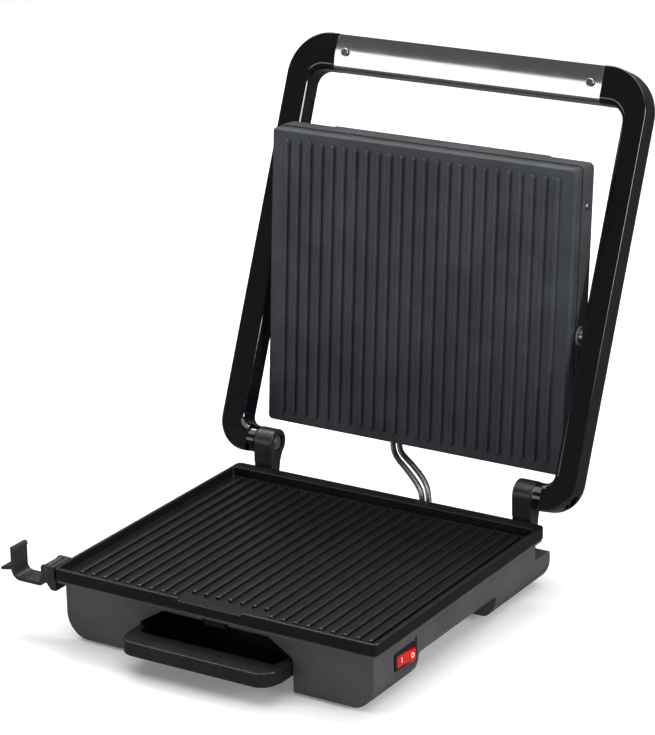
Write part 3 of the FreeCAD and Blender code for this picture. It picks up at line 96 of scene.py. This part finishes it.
# ---- node sheets -------------------------------------------------------------------------------
class NodeSheet:
    """A material's node tree, with the few patterns that the finishes share."""

    def __init__(self, name: str) -> None:
        """Start an empty material with one principled surface.

        Args:
            name: the material's name.
        """
        self.material = bpy.data.materials.new(name)
        self.material.use_nodes = True
        self.nodes = self.material.node_tree.nodes
        self.links = self.material.node_tree.links
        self.surface = self.nodes["Principled BSDF"]
        self.place = self.nodes.new("ShaderNodeTexCoord").outputs["Object"]

    def socket(self, name: str) -> bpy.types.NodeSocket:
        """Return one of the surface's inputs."""
        return self.surface.inputs[name]

    def stretched(self, scale: Sequence[float]) -> bpy.types.NodeSocket:
        """Return object coordinates scaled unevenly.

        Args:
            scale: factor along each axis.

        Returns:
            The mapped coordinates.
        """
        mapping = self.nodes.new("ShaderNodeMapping")
        mapping.inputs["Scale"].default_value = scale
        self.links.new(self.place, mapping.inputs["Vector"])
        return mapping.outputs["Vector"]

    def noise(self, size_mm: float, detail: float = 3.0,
              stretch: Sequence[float] = (1.0, 1.0, 1.0)) -> bpy.types.NodeSocket:
        """Return cloudy noise whose lumps are about one size.

        Args:
            size_mm: size of a lump in millimetres.
            detail: how many finer layers it has.
            stretch: factor along each axis, for grain that runs one way.

        Returns:
            A value from 0 to 1.
        """
        node = self.nodes.new("ShaderNodeTexNoise")
        node.inputs["Scale"].default_value = 1.0 / (size_mm * MILLIMETRE)
        node.inputs["Detail"].default_value = detail
        self.links.new(self.stretched(stretch), node.inputs["Vector"])
        return node.outputs["Fac"]

    def cells(self, size_mm: float) -> bpy.types.NodeSocket:
        """Return the distance to the nearest of many scattered points, for flecks and spark-eroded grain."""
        node = self.nodes.new("ShaderNodeTexVoronoi")
        node.inputs["Scale"].default_value = 1.0 / (size_mm * MILLIMETRE)
        self.links.new(self.place, node.inputs["Vector"])
        return node.outputs["Distance"]

    def ranged(self, value: bpy.types.NodeSocket, source: Tuple[float, float],
               target: Tuple[float, float]) -> bpy.types.NodeSocket:
        """Return a value moved from one range to another, and held inside it.

        Args:
            value: the value to move.
            source: the range it is read over.
            target: the range it is written over.

        Returns:
            The moved value.
        """
        node = self.nodes.new("ShaderNodeMapRange")
        self.links.new(value, node.inputs["Value"])
        for name, number in zip(("From Min", "From Max", "To Min", "To Max"), (*source, *target)):
            node.inputs[name].default_value = number
        return node.outputs["Result"]

    def blended(self, share: bpy.types.NodeSocket, low: object, high: object) -> bpy.types.NodeSocket:
        """Return a colour between two others.

        Args:
            share: how much of the second colour, 0 to 1.
            low: a colour, or a socket that gives one.
            high: a colour, or a socket that gives one.

        Returns:
            The blended colour.
        """
        node = self.nodes.new("ShaderNodeMix")
        node.data_type = "RGBA"
        self.links.new(share, node.inputs["Factor"])
        for name, colour in ((6, low), (7, high)):
            if isinstance(colour, bpy.types.NodeSocket):
                self.links.new(colour, node.inputs[name])
            else:
                node.inputs[name].default_value = (*colour, 1.0)
        return node.outputs[2]

    def edges(self, radius_mm: float) -> bpy.types.NodeSocket:
        """Return a mask that is high along sharp edges, and soften those edges in the light.

        Handling rubs a finish there first, and the finishes also use it to paint a highlight along edges.

        Args:
            radius_mm: how far the mask reaches from an edge.

        Returns:
            A value from 0 to 1.
        """
        bevel = self.nodes.new("ShaderNodeBevel")
        bevel.inputs["Radius"].default_value = radius_mm * MILLIMETRE
        bevel.samples = 12
        self.links.new(bevel.outputs["Normal"], self.socket("Normal"))
        shape = self.nodes.new("ShaderNodeNewGeometry")
        match = self.nodes.new("ShaderNodeVectorMath")
        match.operation = "DOT_PRODUCT"
        self.links.new(bevel.outputs["Normal"], match.inputs[0])
        self.links.new(shape.outputs["Normal"], match.inputs[1])
        return self.ranged(match.outputs["Value"], (0.99, 0.80), (0.0, 1.0))

    def bump(self, height: bpy.types.NodeSocket, depth_mm: float, strength: float) -> None:
        """Add a layer of relief on top of any that the surface has.

        Args:
            height: the relief, 0 to 1.
            depth_mm: its depth in millimetres.
            strength: how much of it shows.
        """
        node = self.nodes.new("ShaderNodeBump")
        node.inputs["Distance"].default_value = depth_mm * MILLIMETRE
        node.inputs["Strength"].default_value = strength
        self.links.new(height, node.inputs["Height"])
        normal = self.socket("Normal")
        if normal.is_linked:
            self.links.new(normal.links[0].from_socket, node.inputs["Normal"])
        self.links.new(node.outputs["Normal"], normal)


# ---- finishes ----------------------------------------------------------------------------------
@dataclass(frozen=True)
class MouldedPlastic:
    """Injection-moulded plastic with a spark-eroded grain, paler along its edges from wear and a painted
    highlight.
    """

    name: str
    deep: Colour
    pale: Colour
    roughness: Tuple[float, float] = (0.42, 0.56)
    grain_mm: float = 0.55
    grain_depth_mm: float = 0.05
    relief: float = 0.35
    wear_and_highlight: float = 0.35
    edge_wear_and_highlight_lift: float = 0.012

    def material(self) -> bpy.types.Material:
        """Return the finish as a node material."""
        sheet = NodeSheet(self.name)
        clouds = sheet.noise(38.0, 2.0)
        body = sheet.blended(sheet.ranged(clouds, (0.35, 0.65), (0.0, 1.0)), self.deep, self.pale)
        # Edges lightened in the base colour: partly wear, partly a painted highlight along the edges.
        wear_and_highlight_colour = tuple(min(1.0, channel * 1.9 + self.edge_wear_and_highlight_lift) for channel in self.pale)
        edge = sheet.ranged(sheet.edges(0.5), (0.0, 1.0), (0.0, self.wear_and_highlight))
        sheet.links.new(sheet.blended(edge, body, wear_and_highlight_colour), sheet.socket("Base Color"))
        sheet.links.new(sheet.ranged(sheet.noise(7.0, 4.0), (0.3, 0.7), self.roughness),
                        sheet.socket("Roughness"))
        sheet.bump(sheet.cells(self.grain_mm), self.grain_depth_mm, self.relief)
        sheet.bump(sheet.noise(22.0, 1.0), 0.15, self.relief * 0.2)
        return sheet.material


@dataclass(frozen=True)
class NonStickCoating:
    """Sprayed non-stick coating with pale flecks over a slightly orange-peeled ground, its edges lightened
    as a painted highlight.
    """

    name: str
    ground: Colour
    fleck: Colour
    fleck_share: float = 0.5
    roughness: Tuple[float, float] = (0.34, 0.48)
    relief: float = 0.22
    wear_and_highlight: float = 0.6
    # pale edge colour: a painted highlight line along rims and rib ends
    edge: Colour = (0.15, 0.155, 0.165)

    def material(self) -> bpy.types.Material:
        """Return the finish as a node material."""
        sheet = NodeSheet(self.name)
        flecks = sheet.ranged(sheet.cells(1.5), (0.26, 0.10), (0.0, self.fleck_share))
        body = sheet.blended(flecks, self.ground, self.fleck)
        hazed = sheet.ranged(sheet.noise(45.0, 3.0), (0.4, 0.75), (0.0, self.fleck_share * 0.35))
        body = sheet.blended(hazed, body, self.fleck)
        # edges blended towards the pale edge colour, a painted highlight
        edge = sheet.ranged(sheet.edges(0.5), (0.0, 1.0), (0.0, self.wear_and_highlight))
        sheet.links.new(sheet.blended(edge, body, self.edge), sheet.socket("Base Color"))
        sheet.links.new(sheet.ranged(sheet.noise(4.0, 3.0), (0.3, 0.7), self.roughness),
                        sheet.socket("Roughness"))
        sheet.bump(sheet.noise(1.1, 1.0), 0.04, self.relief)
        sheet.bump(sheet.cells(2.6), 0.03, self.relief * 0.5)
        return sheet.material


@dataclass(frozen=True)
class GlossLacquer:
    """Deep piano-black lacquer with faint orange peel and fine wiping marks."""

    name: str
    colour: Colour
    roughness: Tuple[float, float] = (0.05, 0.14)
    coat: float = 0.6

    def material(self) -> bpy.types.Material:
        """Return the finish as a node material."""
        sheet = NodeSheet(self.name)
        sheet.socket("Coat Weight").default_value = self.coat
        sheet.socket("Coat Roughness").default_value = 0.04
        bluish = tuple(channel * factor for channel, factor in zip(self.colour, (1.3, 1.6, 2.2)))
        sheet.links.new(sheet.blended(sheet.noise(30.0, 2.0), self.colour, bluish),
                        sheet.socket("Base Color"))
        sheet.links.new(sheet.ranged(sheet.noise(1.2, 4.0, (1.0, 1.0, 0.06)), (0.45, 0.8), self.roughness),
                        sheet.socket("Roughness"))
        sheet.bump(sheet.noise(9.0, 1.0), 0.02, 0.05)
        return sheet.material


@dataclass(frozen=True)
class Steel:
    """Bright or blackened steel with fine brushing."""

    name: str
    colour: Colour
    roughness: Tuple[float, float] = (0.2, 0.34)
    brushing: Brushing = Brushing.EVEN
    grain_mm: float = 0.35
    relief: float = 0.15

    def material(self) -> bpy.types.Material:
        """Return the finish as a node material."""
        sheet = NodeSheet(self.name)
        sheet.socket("Metallic").default_value = 1.0
        darker = tuple(channel * 0.78 for channel in self.colour)
        lines = sheet.noise(self.grain_mm, 4.0, self.brushing.value)
        sheet.links.new(sheet.blended(lines, darker, self.colour), sheet.socket("Base Color"))
        smears = sheet.noise(24.0, 3.0)
        sheet.links.new(sheet.ranged(smears, (0.3, 0.7), self.roughness), sheet.socket("Roughness"))
        sheet.bump(lines, 0.02, self.relief)
        return sheet.material


@dataclass(frozen=True)
class TintedGloss:
    """Glossy coloured plastic, such as a rocker's translucent red."""

    name: str
    colour: Colour
    shade: Colour
    roughness: Tuple[float, float] = (0.12, 0.24)

    def material(self) -> bpy.types.Material:
        """Return the finish as a node material."""
        sheet = NodeSheet(self.name)
        sheet.socket("Coat Weight").default_value = 0.5
        sheet.socket("Coat Roughness").default_value = 0.06
        sheet.links.new(sheet.blended(sheet.noise(5.0, 2.0), self.shade, self.colour),
                        sheet.socket("Base Color"))
        sheet.links.new(sheet.ranged(sheet.noise(1.6, 3.0), (0.3, 0.7), self.roughness),
                        sheet.socket("Roughness"))
        sheet.bump(sheet.noise(2.4, 1.0), 0.02, 0.15)
        return sheet.material


TUB = MouldedPlastic("charcoal_tub_plastic", (0.052, 0.052, 0.053), (0.066, 0.066, 0.067), relief=0.22)
LID_SHELL = MouldedPlastic("charcoal_lid_plastic", (0.034, 0.034, 0.036), (0.046, 0.046, 0.048))
TOWER = MouldedPlastic("satin_hinge_plastic", (0.012, 0.012, 0.014), (0.018, 0.018, 0.021), (0.3, 0.42))
LATCH = MouldedPlastic("latch_plastic", (0.020, 0.020, 0.022), (0.030, 0.030, 0.033), (0.32, 0.46))
# The tray's edges are lightened strongly, a painted highlight line along its lip.
TRAY = MouldedPlastic("tray_plastic", (0.011, 0.011, 0.013), (0.016, 0.016, 0.019), (0.24, 0.28),
                      relief=0.02, wear_and_highlight=0.8, edge_wear_and_highlight_lift=0.09)
SWITCH = MouldedPlastic("switch_frame_plastic", (0.006, 0.006, 0.007), (0.010, 0.010, 0.011), (0.3, 0.4))
RUBBER = MouldedPlastic("foot_rubber", (0.010, 0.010, 0.010), (0.018, 0.018, 0.018), (0.7, 0.85), 0.9)
GLAND = MouldedPlastic("gland_rubber", (0.012, 0.012, 0.012), (0.020, 0.020, 0.020), (0.6, 0.75))
BLOCK = MouldedPlastic("terminal_plastic", (0.55, 0.53, 0.47), (0.62, 0.60, 0.54), (0.4, 0.5))
BUSH = MouldedPlastic("bush_nylon", (0.30, 0.29, 0.27), (0.38, 0.37, 0.34), (0.35, 0.45))
COVER = MouldedPlastic("arm_cover_plastic", (0.005, 0.005, 0.006), (0.009, 0.009, 0.010), (0.24, 0.36))
# Both coatings keep the default pale edge colour, painted glints on rims and rib ends.
LOWER_COAT = NonStickCoating("lower_non_stick", (0.0052, 0.0052, 0.0060), (0.045, 0.047, 0.051),
                             fleck_share=0.10, roughness=(0.28, 0.34), relief=0.04)
UPPER_COAT = NonStickCoating("upper_non_stick", (0.026, 0.030, 0.038), (0.130, 0.146, 0.168), 0.6)
ARM = GlossLacquer("piano_black", (0.0022, 0.0023, 0.0026))
GRIP = Steel("brushed_grip_steel", (0.84, 0.84, 0.86), (0.12, 0.17), Brushing.ALONG_X, relief=0.04)
HARDWARE = Steel("hardware_steel", (0.60, 0.60, 0.62))
ELEMENT = Steel("blued_element_steel", (0.16, 0.15, 0.15), (0.4, 0.6))
SHIELD = Steel("shield_steel", (0.70, 0.70, 0.70), (0.3, 0.45), Brushing.ALONG_Y)
CONDUIT = Steel("wound_conduit_steel", (0.34, 0.33, 0.32), (0.24, 0.36))
ROCKER = TintedGloss("rocker_red", (0.62, 0.012, 0.010), (0.46, 0.008, 0.008))
MARKING = TintedGloss("marking_white", (0.86, 0.86, 0.85), (0.78, 0.78, 0.77), (0.35, 0.5))


# ---- mesh helpers ------------------------------------------------------------------------------
def nothing_selected() -> None:
    """Deselect every object, so that an operator can't touch the frame."""
    for other in bpy.context.view_layer.objects:
        other.select_set(False)


def settled(thing: bpy.types.Object, place: Matrix) -> bpy.types.Object:
    """Put a finished piece where it belongs, with its place in its mesh.

    Args:
        thing: the piece, modelled at the origin.
        place: where it goes.

    Returns:
        The piece, with its object at the origin.
    """
    thing.data.transform(thing.matrix_basis)
    thing.matrix_basis = Matrix.Identity(4)
    thing.data.transform(place)
    thing.data.update()
    return thing


def facing(point: Vector, normal: Vector, up: Vector) -> Matrix:
    """Return the frame of a mark that lies on a surface.

    Args:
        point: where it lies.
        normal: the surface's direction there, which becomes the mark's Z.
        up: the way that the mark's Y should lean.

    Returns:
        The frame as a matrix.
    """
    across = up.cross(normal).normalized()
    upright = normal.cross(across).normalized()
    turn = Matrix((across, upright, normal.normalized())).transposed().to_4x4()
    return Matrix.Translation(point) @ turn


def dressed(finishes: Dict[str, object], made: Dict[str, bpy.types.Material]) -> None:
    """Give each node of the frame its finish.

    Args:
        finishes: the finish of each node.
        made: materials made so far, by name, so that pieces share them.
    """
    for node, finish in finishes.items():
        if finish.name not in made:
            made[finish.name] = finish.material()
        thing = frame["nodes"][node]
        thing.data.materials.clear()
        thing.data.materials.append(made[finish.name])
        for face in thing.data.polygons:
            face.material_index = 0
        LOG.info("%s dressed in %s", node, finish.name)


# ---- sub-assemblies ----------------------------------------------------------------------------
@dataclass
class BaseUnit:
    """Lower plate, tub, tray, hinge towers, latch and what is inside the base."""

    finishes: Dict[str, object] = field(default_factory=lambda: {
        "base_tub": TUB, "lower_grill_plate": LOWER_COAT, "lower_heating_element": ELEMENT,
        "lower_heat_shield": SHIELD, "thermostat": BLOCK, "terminal_block": BLOCK, "rubber_feet": RUBBER,
        "plate_screws": HARDWARE, "right_hinge_tower": TOWER, "left_hinge_tower": TOWER,
        "tower_screws": HARDWARE, "hinge_bolts": HARDWARE, "hinge_nuts": HARDWARE,
        "hinge_washers": HARDWARE, "cord_gland": GLAND, "latch_bracket": LATCH, "latch_pin": HARDWARE,
        "latch_hook": LATCH, "drip_tray": TRAY, "base_conduit_clamp": HARDWARE})

    def build(self, made: Dict[str, bpy.types.Material]) -> None:
        """Dress the base's nodes."""
        dressed(self.finishes, made)


@dataclass
class HoopUnit:
    """The arms and the steel-sleeved handle between them."""

    finishes: Dict[str, object] = field(default_factory=lambda: {
        "right_arm_shell": ARM, "left_arm_shell": ARM, "right_arm_cover": COVER, "left_arm_cover": COVER,
        "handle_core": COVER, "handle_grip": GRIP, "grip_screws": HARDWARE, "lid_pivot_studs": HARDWARE})

    def build(self, made: Dict[str, bpy.types.Material]) -> None:
        """Dress the hoop's nodes."""
        dressed(self.finishes, made)


@dataclass
class LidUnit:
    """The tilting upper plate with its housing, back panel and what is inside it."""

    finishes: Dict[str, object] = field(default_factory=lambda: {
        "lid_housing": LID_SHELL, "lid_back_panel": LID_SHELL, "upper_grill_plate": UPPER_COAT,
        "upper_heating_element": ELEMENT, "upper_heat_shield": SHIELD, "thermal_fuse": BLOCK,
        "lid_pivot_bushes": BUSH, "lid_side_screws": HARDWARE, "lid_conduit_clamp": HARDWARE})

    def build(self, made: Dict[str, bpy.types.Material]) -> None:
        """Dress the lid's nodes."""
        dressed(self.finishes, made)


@dataclass
class RockerSwitch:
    """The lit-red rocker in its black frame, with its two marks."""

    mark_height: float = 4.6 * MILLIMETRE
    mark_stroke: float = 0.9 * MILLIMETRE
    mark_proud: float = 0.16 * MILLIMETRE
    from_middle: float = 6.2 * MILLIMETRE
    finishes: Dict[str, object] = field(default_factory=lambda: {
        "switch_body": SWITCH, "switch_rocker": ROCKER})

    def build(self, made: Dict[str, bpy.types.Material]) -> None:
        """Dress the switch and lay both marks on the rocker."""
        dressed(self.finishes, made)
        made[MARKING.name] = MARKING.material()
        for mark, side in ((RockerMark.ON, -1), (RockerMark.OFF, 1)):
            piece = self.bar() if mark is RockerMark.ON else self.ring()
            piece.name = piece.data.name = mark.value
            settled(piece, self.seat(side))
            piece.data.materials.append(made[MARKING.name])
            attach(piece, "switch_rocker")
            LOG.info("%s laid on the rocker", piece.name)

    def seat(self, side: int) -> Matrix:
        """Return the frame of a mark on one half of the rocker's face.

        Args:
            side: -1 for the front half, 1 for the rear half.

        Returns:
            The mark's frame on the face.
        """
        low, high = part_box("switch_rocker")
        middle = (low + high) / 2
        start = Vector((high.x + 0.02, middle.y + side * self.from_middle, middle.z))
        hit, point, normal, _ = frame["nodes"]["switch_rocker"].ray_cast(start, Vector((-1, 0, 0)))
        if not hit:
            raise RuntimeError("the rocker's face isn't where its box says")
        return facing(point, normal, Vector((0, 0, 1)))

    def bar(self) -> bpy.types.Object:
        """Return the upright stroke, with rounded corners and a softened top."""
        nothing_selected()
        bpy.ops.mesh.primitive_cube_add(size=1.0)
        bar = bpy.context.active_object
        bar.scale = (self.mark_stroke, self.mark_height, self.mark_proud * 2)
        bpy.ops.object.transform_apply(location=False, rotation=False, scale=True)
        bevel = bar.modifiers.new("rounded", "BEVEL")
        bevel.width, bevel.segments = self.mark_proud * 0.6, 2
        bpy.ops.object.modifier_apply(modifier=bevel.name)
        return bar

    def ring(self) -> bpy.types.Object:
        """Return the round mark: a disc whose middle is inset, emptied and raised into a band."""
        nothing_selected()
        radius = self.mark_height / 2
        bpy.ops.mesh.primitive_circle_add(vertices=40, radius=radius, fill_type="NGON")
        ring = bpy.context.active_object
        bpy.ops.object.mode_set(mode="EDIT")
        bpy.ops.mesh.select_all(action="SELECT")
        bpy.ops.mesh.inset(thickness=self.mark_stroke)
        bpy.ops.mesh.delete(type="FACE")
        bpy.ops.object.mode_set(mode="OBJECT")
        ring.data.transform(Matrix.Diagonal((0.78, 1.0, 1.0, 1.0)))
        wall = ring.modifiers.new("band", "SOLIDIFY")
        wall.thickness, wall.offset = self.mark_proud * 2, 0.0
        bpy.ops.object.modifier_apply(modifier=wall.name)
        bpy.ops.object.mode_set(mode="EDIT")
        bpy.ops.mesh.select_all(action="SELECT")
        bpy.ops.mesh.normals_make_consistent(inside=False)
        bpy.ops.object.mode_set(mode="OBJECT")
        return ring


@dataclass
class WoundConduit:
    """One steel conduit of wound strip, from the base's ledge to the lid's lower end."""

    side: str
    route_mm: List[Tuple[float, float, float]]
    radius: float = 2.6 * MILLIMETRE
    pitch: float = 1.9 * MILLIMETRE
    groove: float = 0.26 * MILLIMETRE
    around: int = 20
    steps_a_turn: int = 6

    def centre_line(self) -> List[Vector]:
        """Return the points of the route's smooth line."""
        curve = bpy.data.curves.new(f"{self.side}_route", "CURVE")
        curve.dimensions = "3D"
        curve.resolution_u = 48
        spline = curve.splines.new("NURBS")
        spline.points.add(len(self.route_mm) - 1)
        for point, place in zip(spline.points, self.route_mm):
            point.co = (*(Vector(place) * MILLIMETRE), 1.0)
        spline.order_u = 3
        spline.use_endpoint_u = True
        guide = bpy.data.objects.new(f"{self.side}_route", curve)
        bpy.context.scene.collection.objects.link(guide)
        bpy.context.view_layer.update()
        line = bpy.data.meshes.new_from_object(guide)
        points = [vertex.co.copy() for vertex in line.vertices]
        bpy.data.objects.remove(guide)
        bpy.data.meshes.remove(line)
        return points

    def stations(self) -> List[Tuple[Vector, Vector, float]]:
        """Return evenly spaced points on the line, each with its direction and its distance along."""
        points = self.centre_line()
        lengths = [0.0]
        for before, after in zip(points, points[1:]):
            lengths.append(lengths[-1] + (after - before).length)
        count = int(lengths[-1] / self.pitch * self.steps_a_turn)
        found, at = [], 0
        for i in range(count + 1):
            along = lengths[-1] * i / count
            while at < len(points) - 2 and lengths[at + 1] < along:
                at += 1
            span = max(lengths[at + 1] - lengths[at], 1e-9)
            share = (along - lengths[at]) / span
            direction = (points[at + 1] - points[at]).normalized()
            found.append((points[at].lerp(points[at + 1], share), direction, along))
        return found

    def tube(self, name: str, stations: List[Tuple[Vector, Vector, float]]) -> bpy.types.Object:
        """Return a closed tube whose wall winds in a shallow spiral.

        Args:
            name: the piece's name.
            stations: the points it follows.

        Returns:
            The tube as a mesh object at the origin.
        """
        shape = bmesh.new()
        rings = []
        for point, direction, along in stations:
            across = Vector((1, 0, 0)) - direction * direction.x
            if across.length <= 0.2:
                across = Vector((0, 0, 1)).cross(direction)
            across.normalize()
            other = direction.cross(across)
            ring = []
            for k in range(self.around):
                turn = 2 * math.pi * k / self.around
                wave = 0.5 + 0.5 * math.cos(2 * math.pi * along / self.pitch - turn)
                reach = self.radius - self.groove * (1 - wave ** 0.6)
                outward = across * math.cos(turn) + other * math.sin(turn)
                ring.append(shape.verts.new(point + outward * reach))
            rings.append(ring)
        for low, high in zip(rings, rings[1:]):
            for k in range(self.around):
                after = (k + 1) % self.around
                shape.faces.new((low[k], low[after], high[after], high[k]))
        shape.faces.new(list(reversed(rings[0])))
        shape.faces.new(rings[-1])
        bmesh.ops.recalc_face_normals(shape, faces=shape.faces[:])
        mesh = bpy.data.meshes.new(name)
        shape.to_mesh(mesh)
        shape.free()
        mesh.shade_smooth()
        thing = bpy.data.objects.new(name, mesh)
        bpy.context.scene.collection.objects.link(thing)
        return thing

    def build(self, made: Dict[str, bpy.types.Material]) -> None:
        """Wind the conduit as two lengths, split at the middle of its route."""
        if CONDUIT.name not in made:
            made[CONDUIT.name] = CONDUIT.material()
        stations = self.stations()
        half = len(stations) // 2
        for part, some, pair in (("lower", stations[:half + 1], ("base", "hoop")),
                                 ("upper", stations[half:], ("hoop", "lid"))):
            thing = self.tube(f"{self.side}_conduit_{part}", some)
            thing.data.materials.append(made[CONDUIT.name])
            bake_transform(thing)
            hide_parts(f"{self.side}_conduit")
            LOG.info("%s wound over %d rings", thing.name, len(some))


@dataclass
class Studio:
    """Pale floor, soft lights and a camera on a long lens."""

    eye: Tuple[float, float, float] = (1.2417, -1.9111, 1.0219)
    azimuth: float = 32.399
    elevation: float = 19.353
    roll: float = -1.287
    lens: float = 163.0
    floor_glow: float = 0.16
    room: float = 0.10

    def camera(self) -> None:
        """Set up the camera."""
        around, above, twist = (math.radians(a) for a in (self.azimuth, self.elevation, self.roll))
        back = Vector((math.sin(around) * math.cos(above), -math.cos(around) * math.cos(above),
                       math.sin(above)))
        right = Vector((math.cos(around), math.sin(around), 0))
        up = back.cross(right)
        turned = right * math.cos(twist) + up * math.sin(twist)
        upright = up * math.cos(twist) - right * math.sin(twist)
        data = bpy.data.cameras.new("grill_camera")
        data.sensor_fit, data.sensor_width, data.lens = "HORIZONTAL", 36.0, self.lens
        data.clip_end = 50.0
        camera = bpy.data.objects.new("grill_camera", data)
        facing_grill = Matrix((turned, upright, back)).transposed().to_4x4()
        camera.matrix_world = Matrix.Translation(self.eye) @ facing_grill
        bpy.context.scene.collection.objects.link(camera)
        bpy.context.scene.camera = camera

    def floor(self) -> None:
        """Lay the floor."""
        nothing_selected()
        bpy.ops.mesh.primitive_plane_add(size=14.0, location=(0, 0, 0))
        floor = bpy.context.active_object
        floor.name = "studio_floor"
        sheet = NodeSheet("studio_paper")
        sheet.links.new(sheet.blended(sheet.noise(400.0, 2.0), (0.90, 0.90, 0.90), (0.92, 0.92, 0.92)),
                        sheet.socket("Base Color"))
        sheet.socket("Roughness").default_value = 0.9
        sheet.socket("Specular IOR Level").default_value = 0.1
        sheet.socket("Emission Color").default_value = (1.0, 1.0, 1.0, 1.0)
        sheet.socket("Emission Strength").default_value = self.floor_glow
        floor.data.materials.append(sheet.material)
        floor.visible_glossy = False

    def light(self, name: str, place: Sequence[float], target: Sequence[float], size: Tuple[float, float],
              power: float, colour: Colour = (1.0, 1.0, 1.0),
              lit: Optional[bpy.types.Collection] = None) -> None:
        """Hang one soft box.

        Args:
            name: the light's name.
            place: where it hangs.
            target: the point that it faces.
            size: its width and height in metres.
            power: its power in watts.
            colour: its tint.
            lit: the pieces that it lights, or none for all.
        """
        data = bpy.data.lights.new(name, "AREA")
        data.shape, data.size, data.size_y = "RECTANGLE", *size
        data.energy, data.color = power, colour
        lamp = bpy.data.objects.new(name, data)
        aim = (Vector(target) - Vector(place)).to_track_quat("-Z", "Y")
        lamp.matrix_world = Matrix.Translation(place) @ aim.to_matrix().to_4x4()
        bpy.context.scene.collection.objects.link(lamp)
        lamp.light_linking.receiver_collection = lit

    def sleeve_only(self, state: str) -> bpy.types.Collection:
        """Return a set of lit pieces that names the steel sleeve alone.

        Args:
            state: INCLUDE to light only the sleeve, EXCLUDE to light all but the sleeve.

        Returns:
            The set, for a light's receivers.
        """
        group = bpy.data.collections.new(f"sleeve_{state.lower()}")
        sleeve = frame["nodes"]["handle_grip"]
        group.objects.link(sleeve)
        group.collection_objects[0].light_linking.link_state = state
        return group

    def world(self) -> None:
        """Fill the room with an even pale light."""
        world = bpy.data.worlds.new("studio_room")
        bpy.context.scene.world = world
        world.use_nodes = True
        world.node_tree.nodes["Background"].inputs["Color"].default_value = (0.97, 0.985, 1.0, 1.0)
        world.node_tree.nodes["Background"].inputs["Strength"].default_value = self.room
        bpy.context.scene.view_settings.view_transform = "Standard"
        bpy.context.scene.view_settings.look = "None"

    def build(self) -> None:
        """Set up camera, floor, lights and room."""
        self.camera()
        self.floor()
        self.world()
        rest, sleeve = self.sleeve_only("EXCLUDE"), self.sleeve_only("INCLUDE")
        self.light("overhead_box", (0.0, 0.3, 2.9), (0.0, 0.2, 0.0), (4.6, 4.6), 124.0, lit=rest)
        self.light("hair_strip", (-0.5, 1.1, 2.3), (0.0, 0.0, 0.1), (2.6, 0.24), 34.0, lit=rest)
        self.light("right_box", (2.6, 0.2, 0.9), (0.1, 0.0, 0.1), (0.9, 1.2), 50.0)
        self.light("low_front_panel", (-1.3, -1.9, 0.42), (0.0, 0.2, 0.38), (2.6, 0.72), 11.0, lit=rest)
        self.light("sleeve_panel", (-1.3, -1.9, 0.86), (0.0, 0.2, 0.42), (3.0, 1.66), 22.0, lit=sleeve)
        self.light("left_strip", (-1.9, 0.5, 1.2), (0.0, 0.1, 0.3), (0.25, 1.6), 9.0, (0.82, 0.91, 1.0))
        LOG.info("studio ready")


# ---- assembly ----------------------------------------------------------------------------------
LEFT_ROUTE = [(36.5, 147.5, 48.0), (36.5, 147.5, 66.0), (25.825, 158.514, 73.569), (1.73, 178.86, 76.368),
              (-15.35, 193.282, 76.478), (-24.5, 199.008, 80.68), (-24.5, 200.67, 101.113)]
RIGHT_ROUTE = [(30.0, 147.5, 48.0), (30.0, 147.5, 64.0), (19.325, 156.514, 69.919), (-4.77, 176.86, 73.508),
               (-21.85, 191.282, 74.178), (-31.0, 199.008, 80.68), (-31.0, 200.67, 101.113)]


def main() -> None:
    """Build every sub-assembly in order."""
    logging.basicConfig(level=logging.INFO, format="%(name)s: %(message)s")
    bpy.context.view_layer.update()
    made: Dict[str, bpy.types.Material] = {}
    for unit in (BaseUnit(), HoopUnit(), LidUnit(), RockerSwitch(), WoundConduit("left", LEFT_ROUTE),
                 WoundConduit("right", RIGHT_ROUTE)):
        unit.build(made)
    Studio().build()


if __name__ == "__main__":
    main()
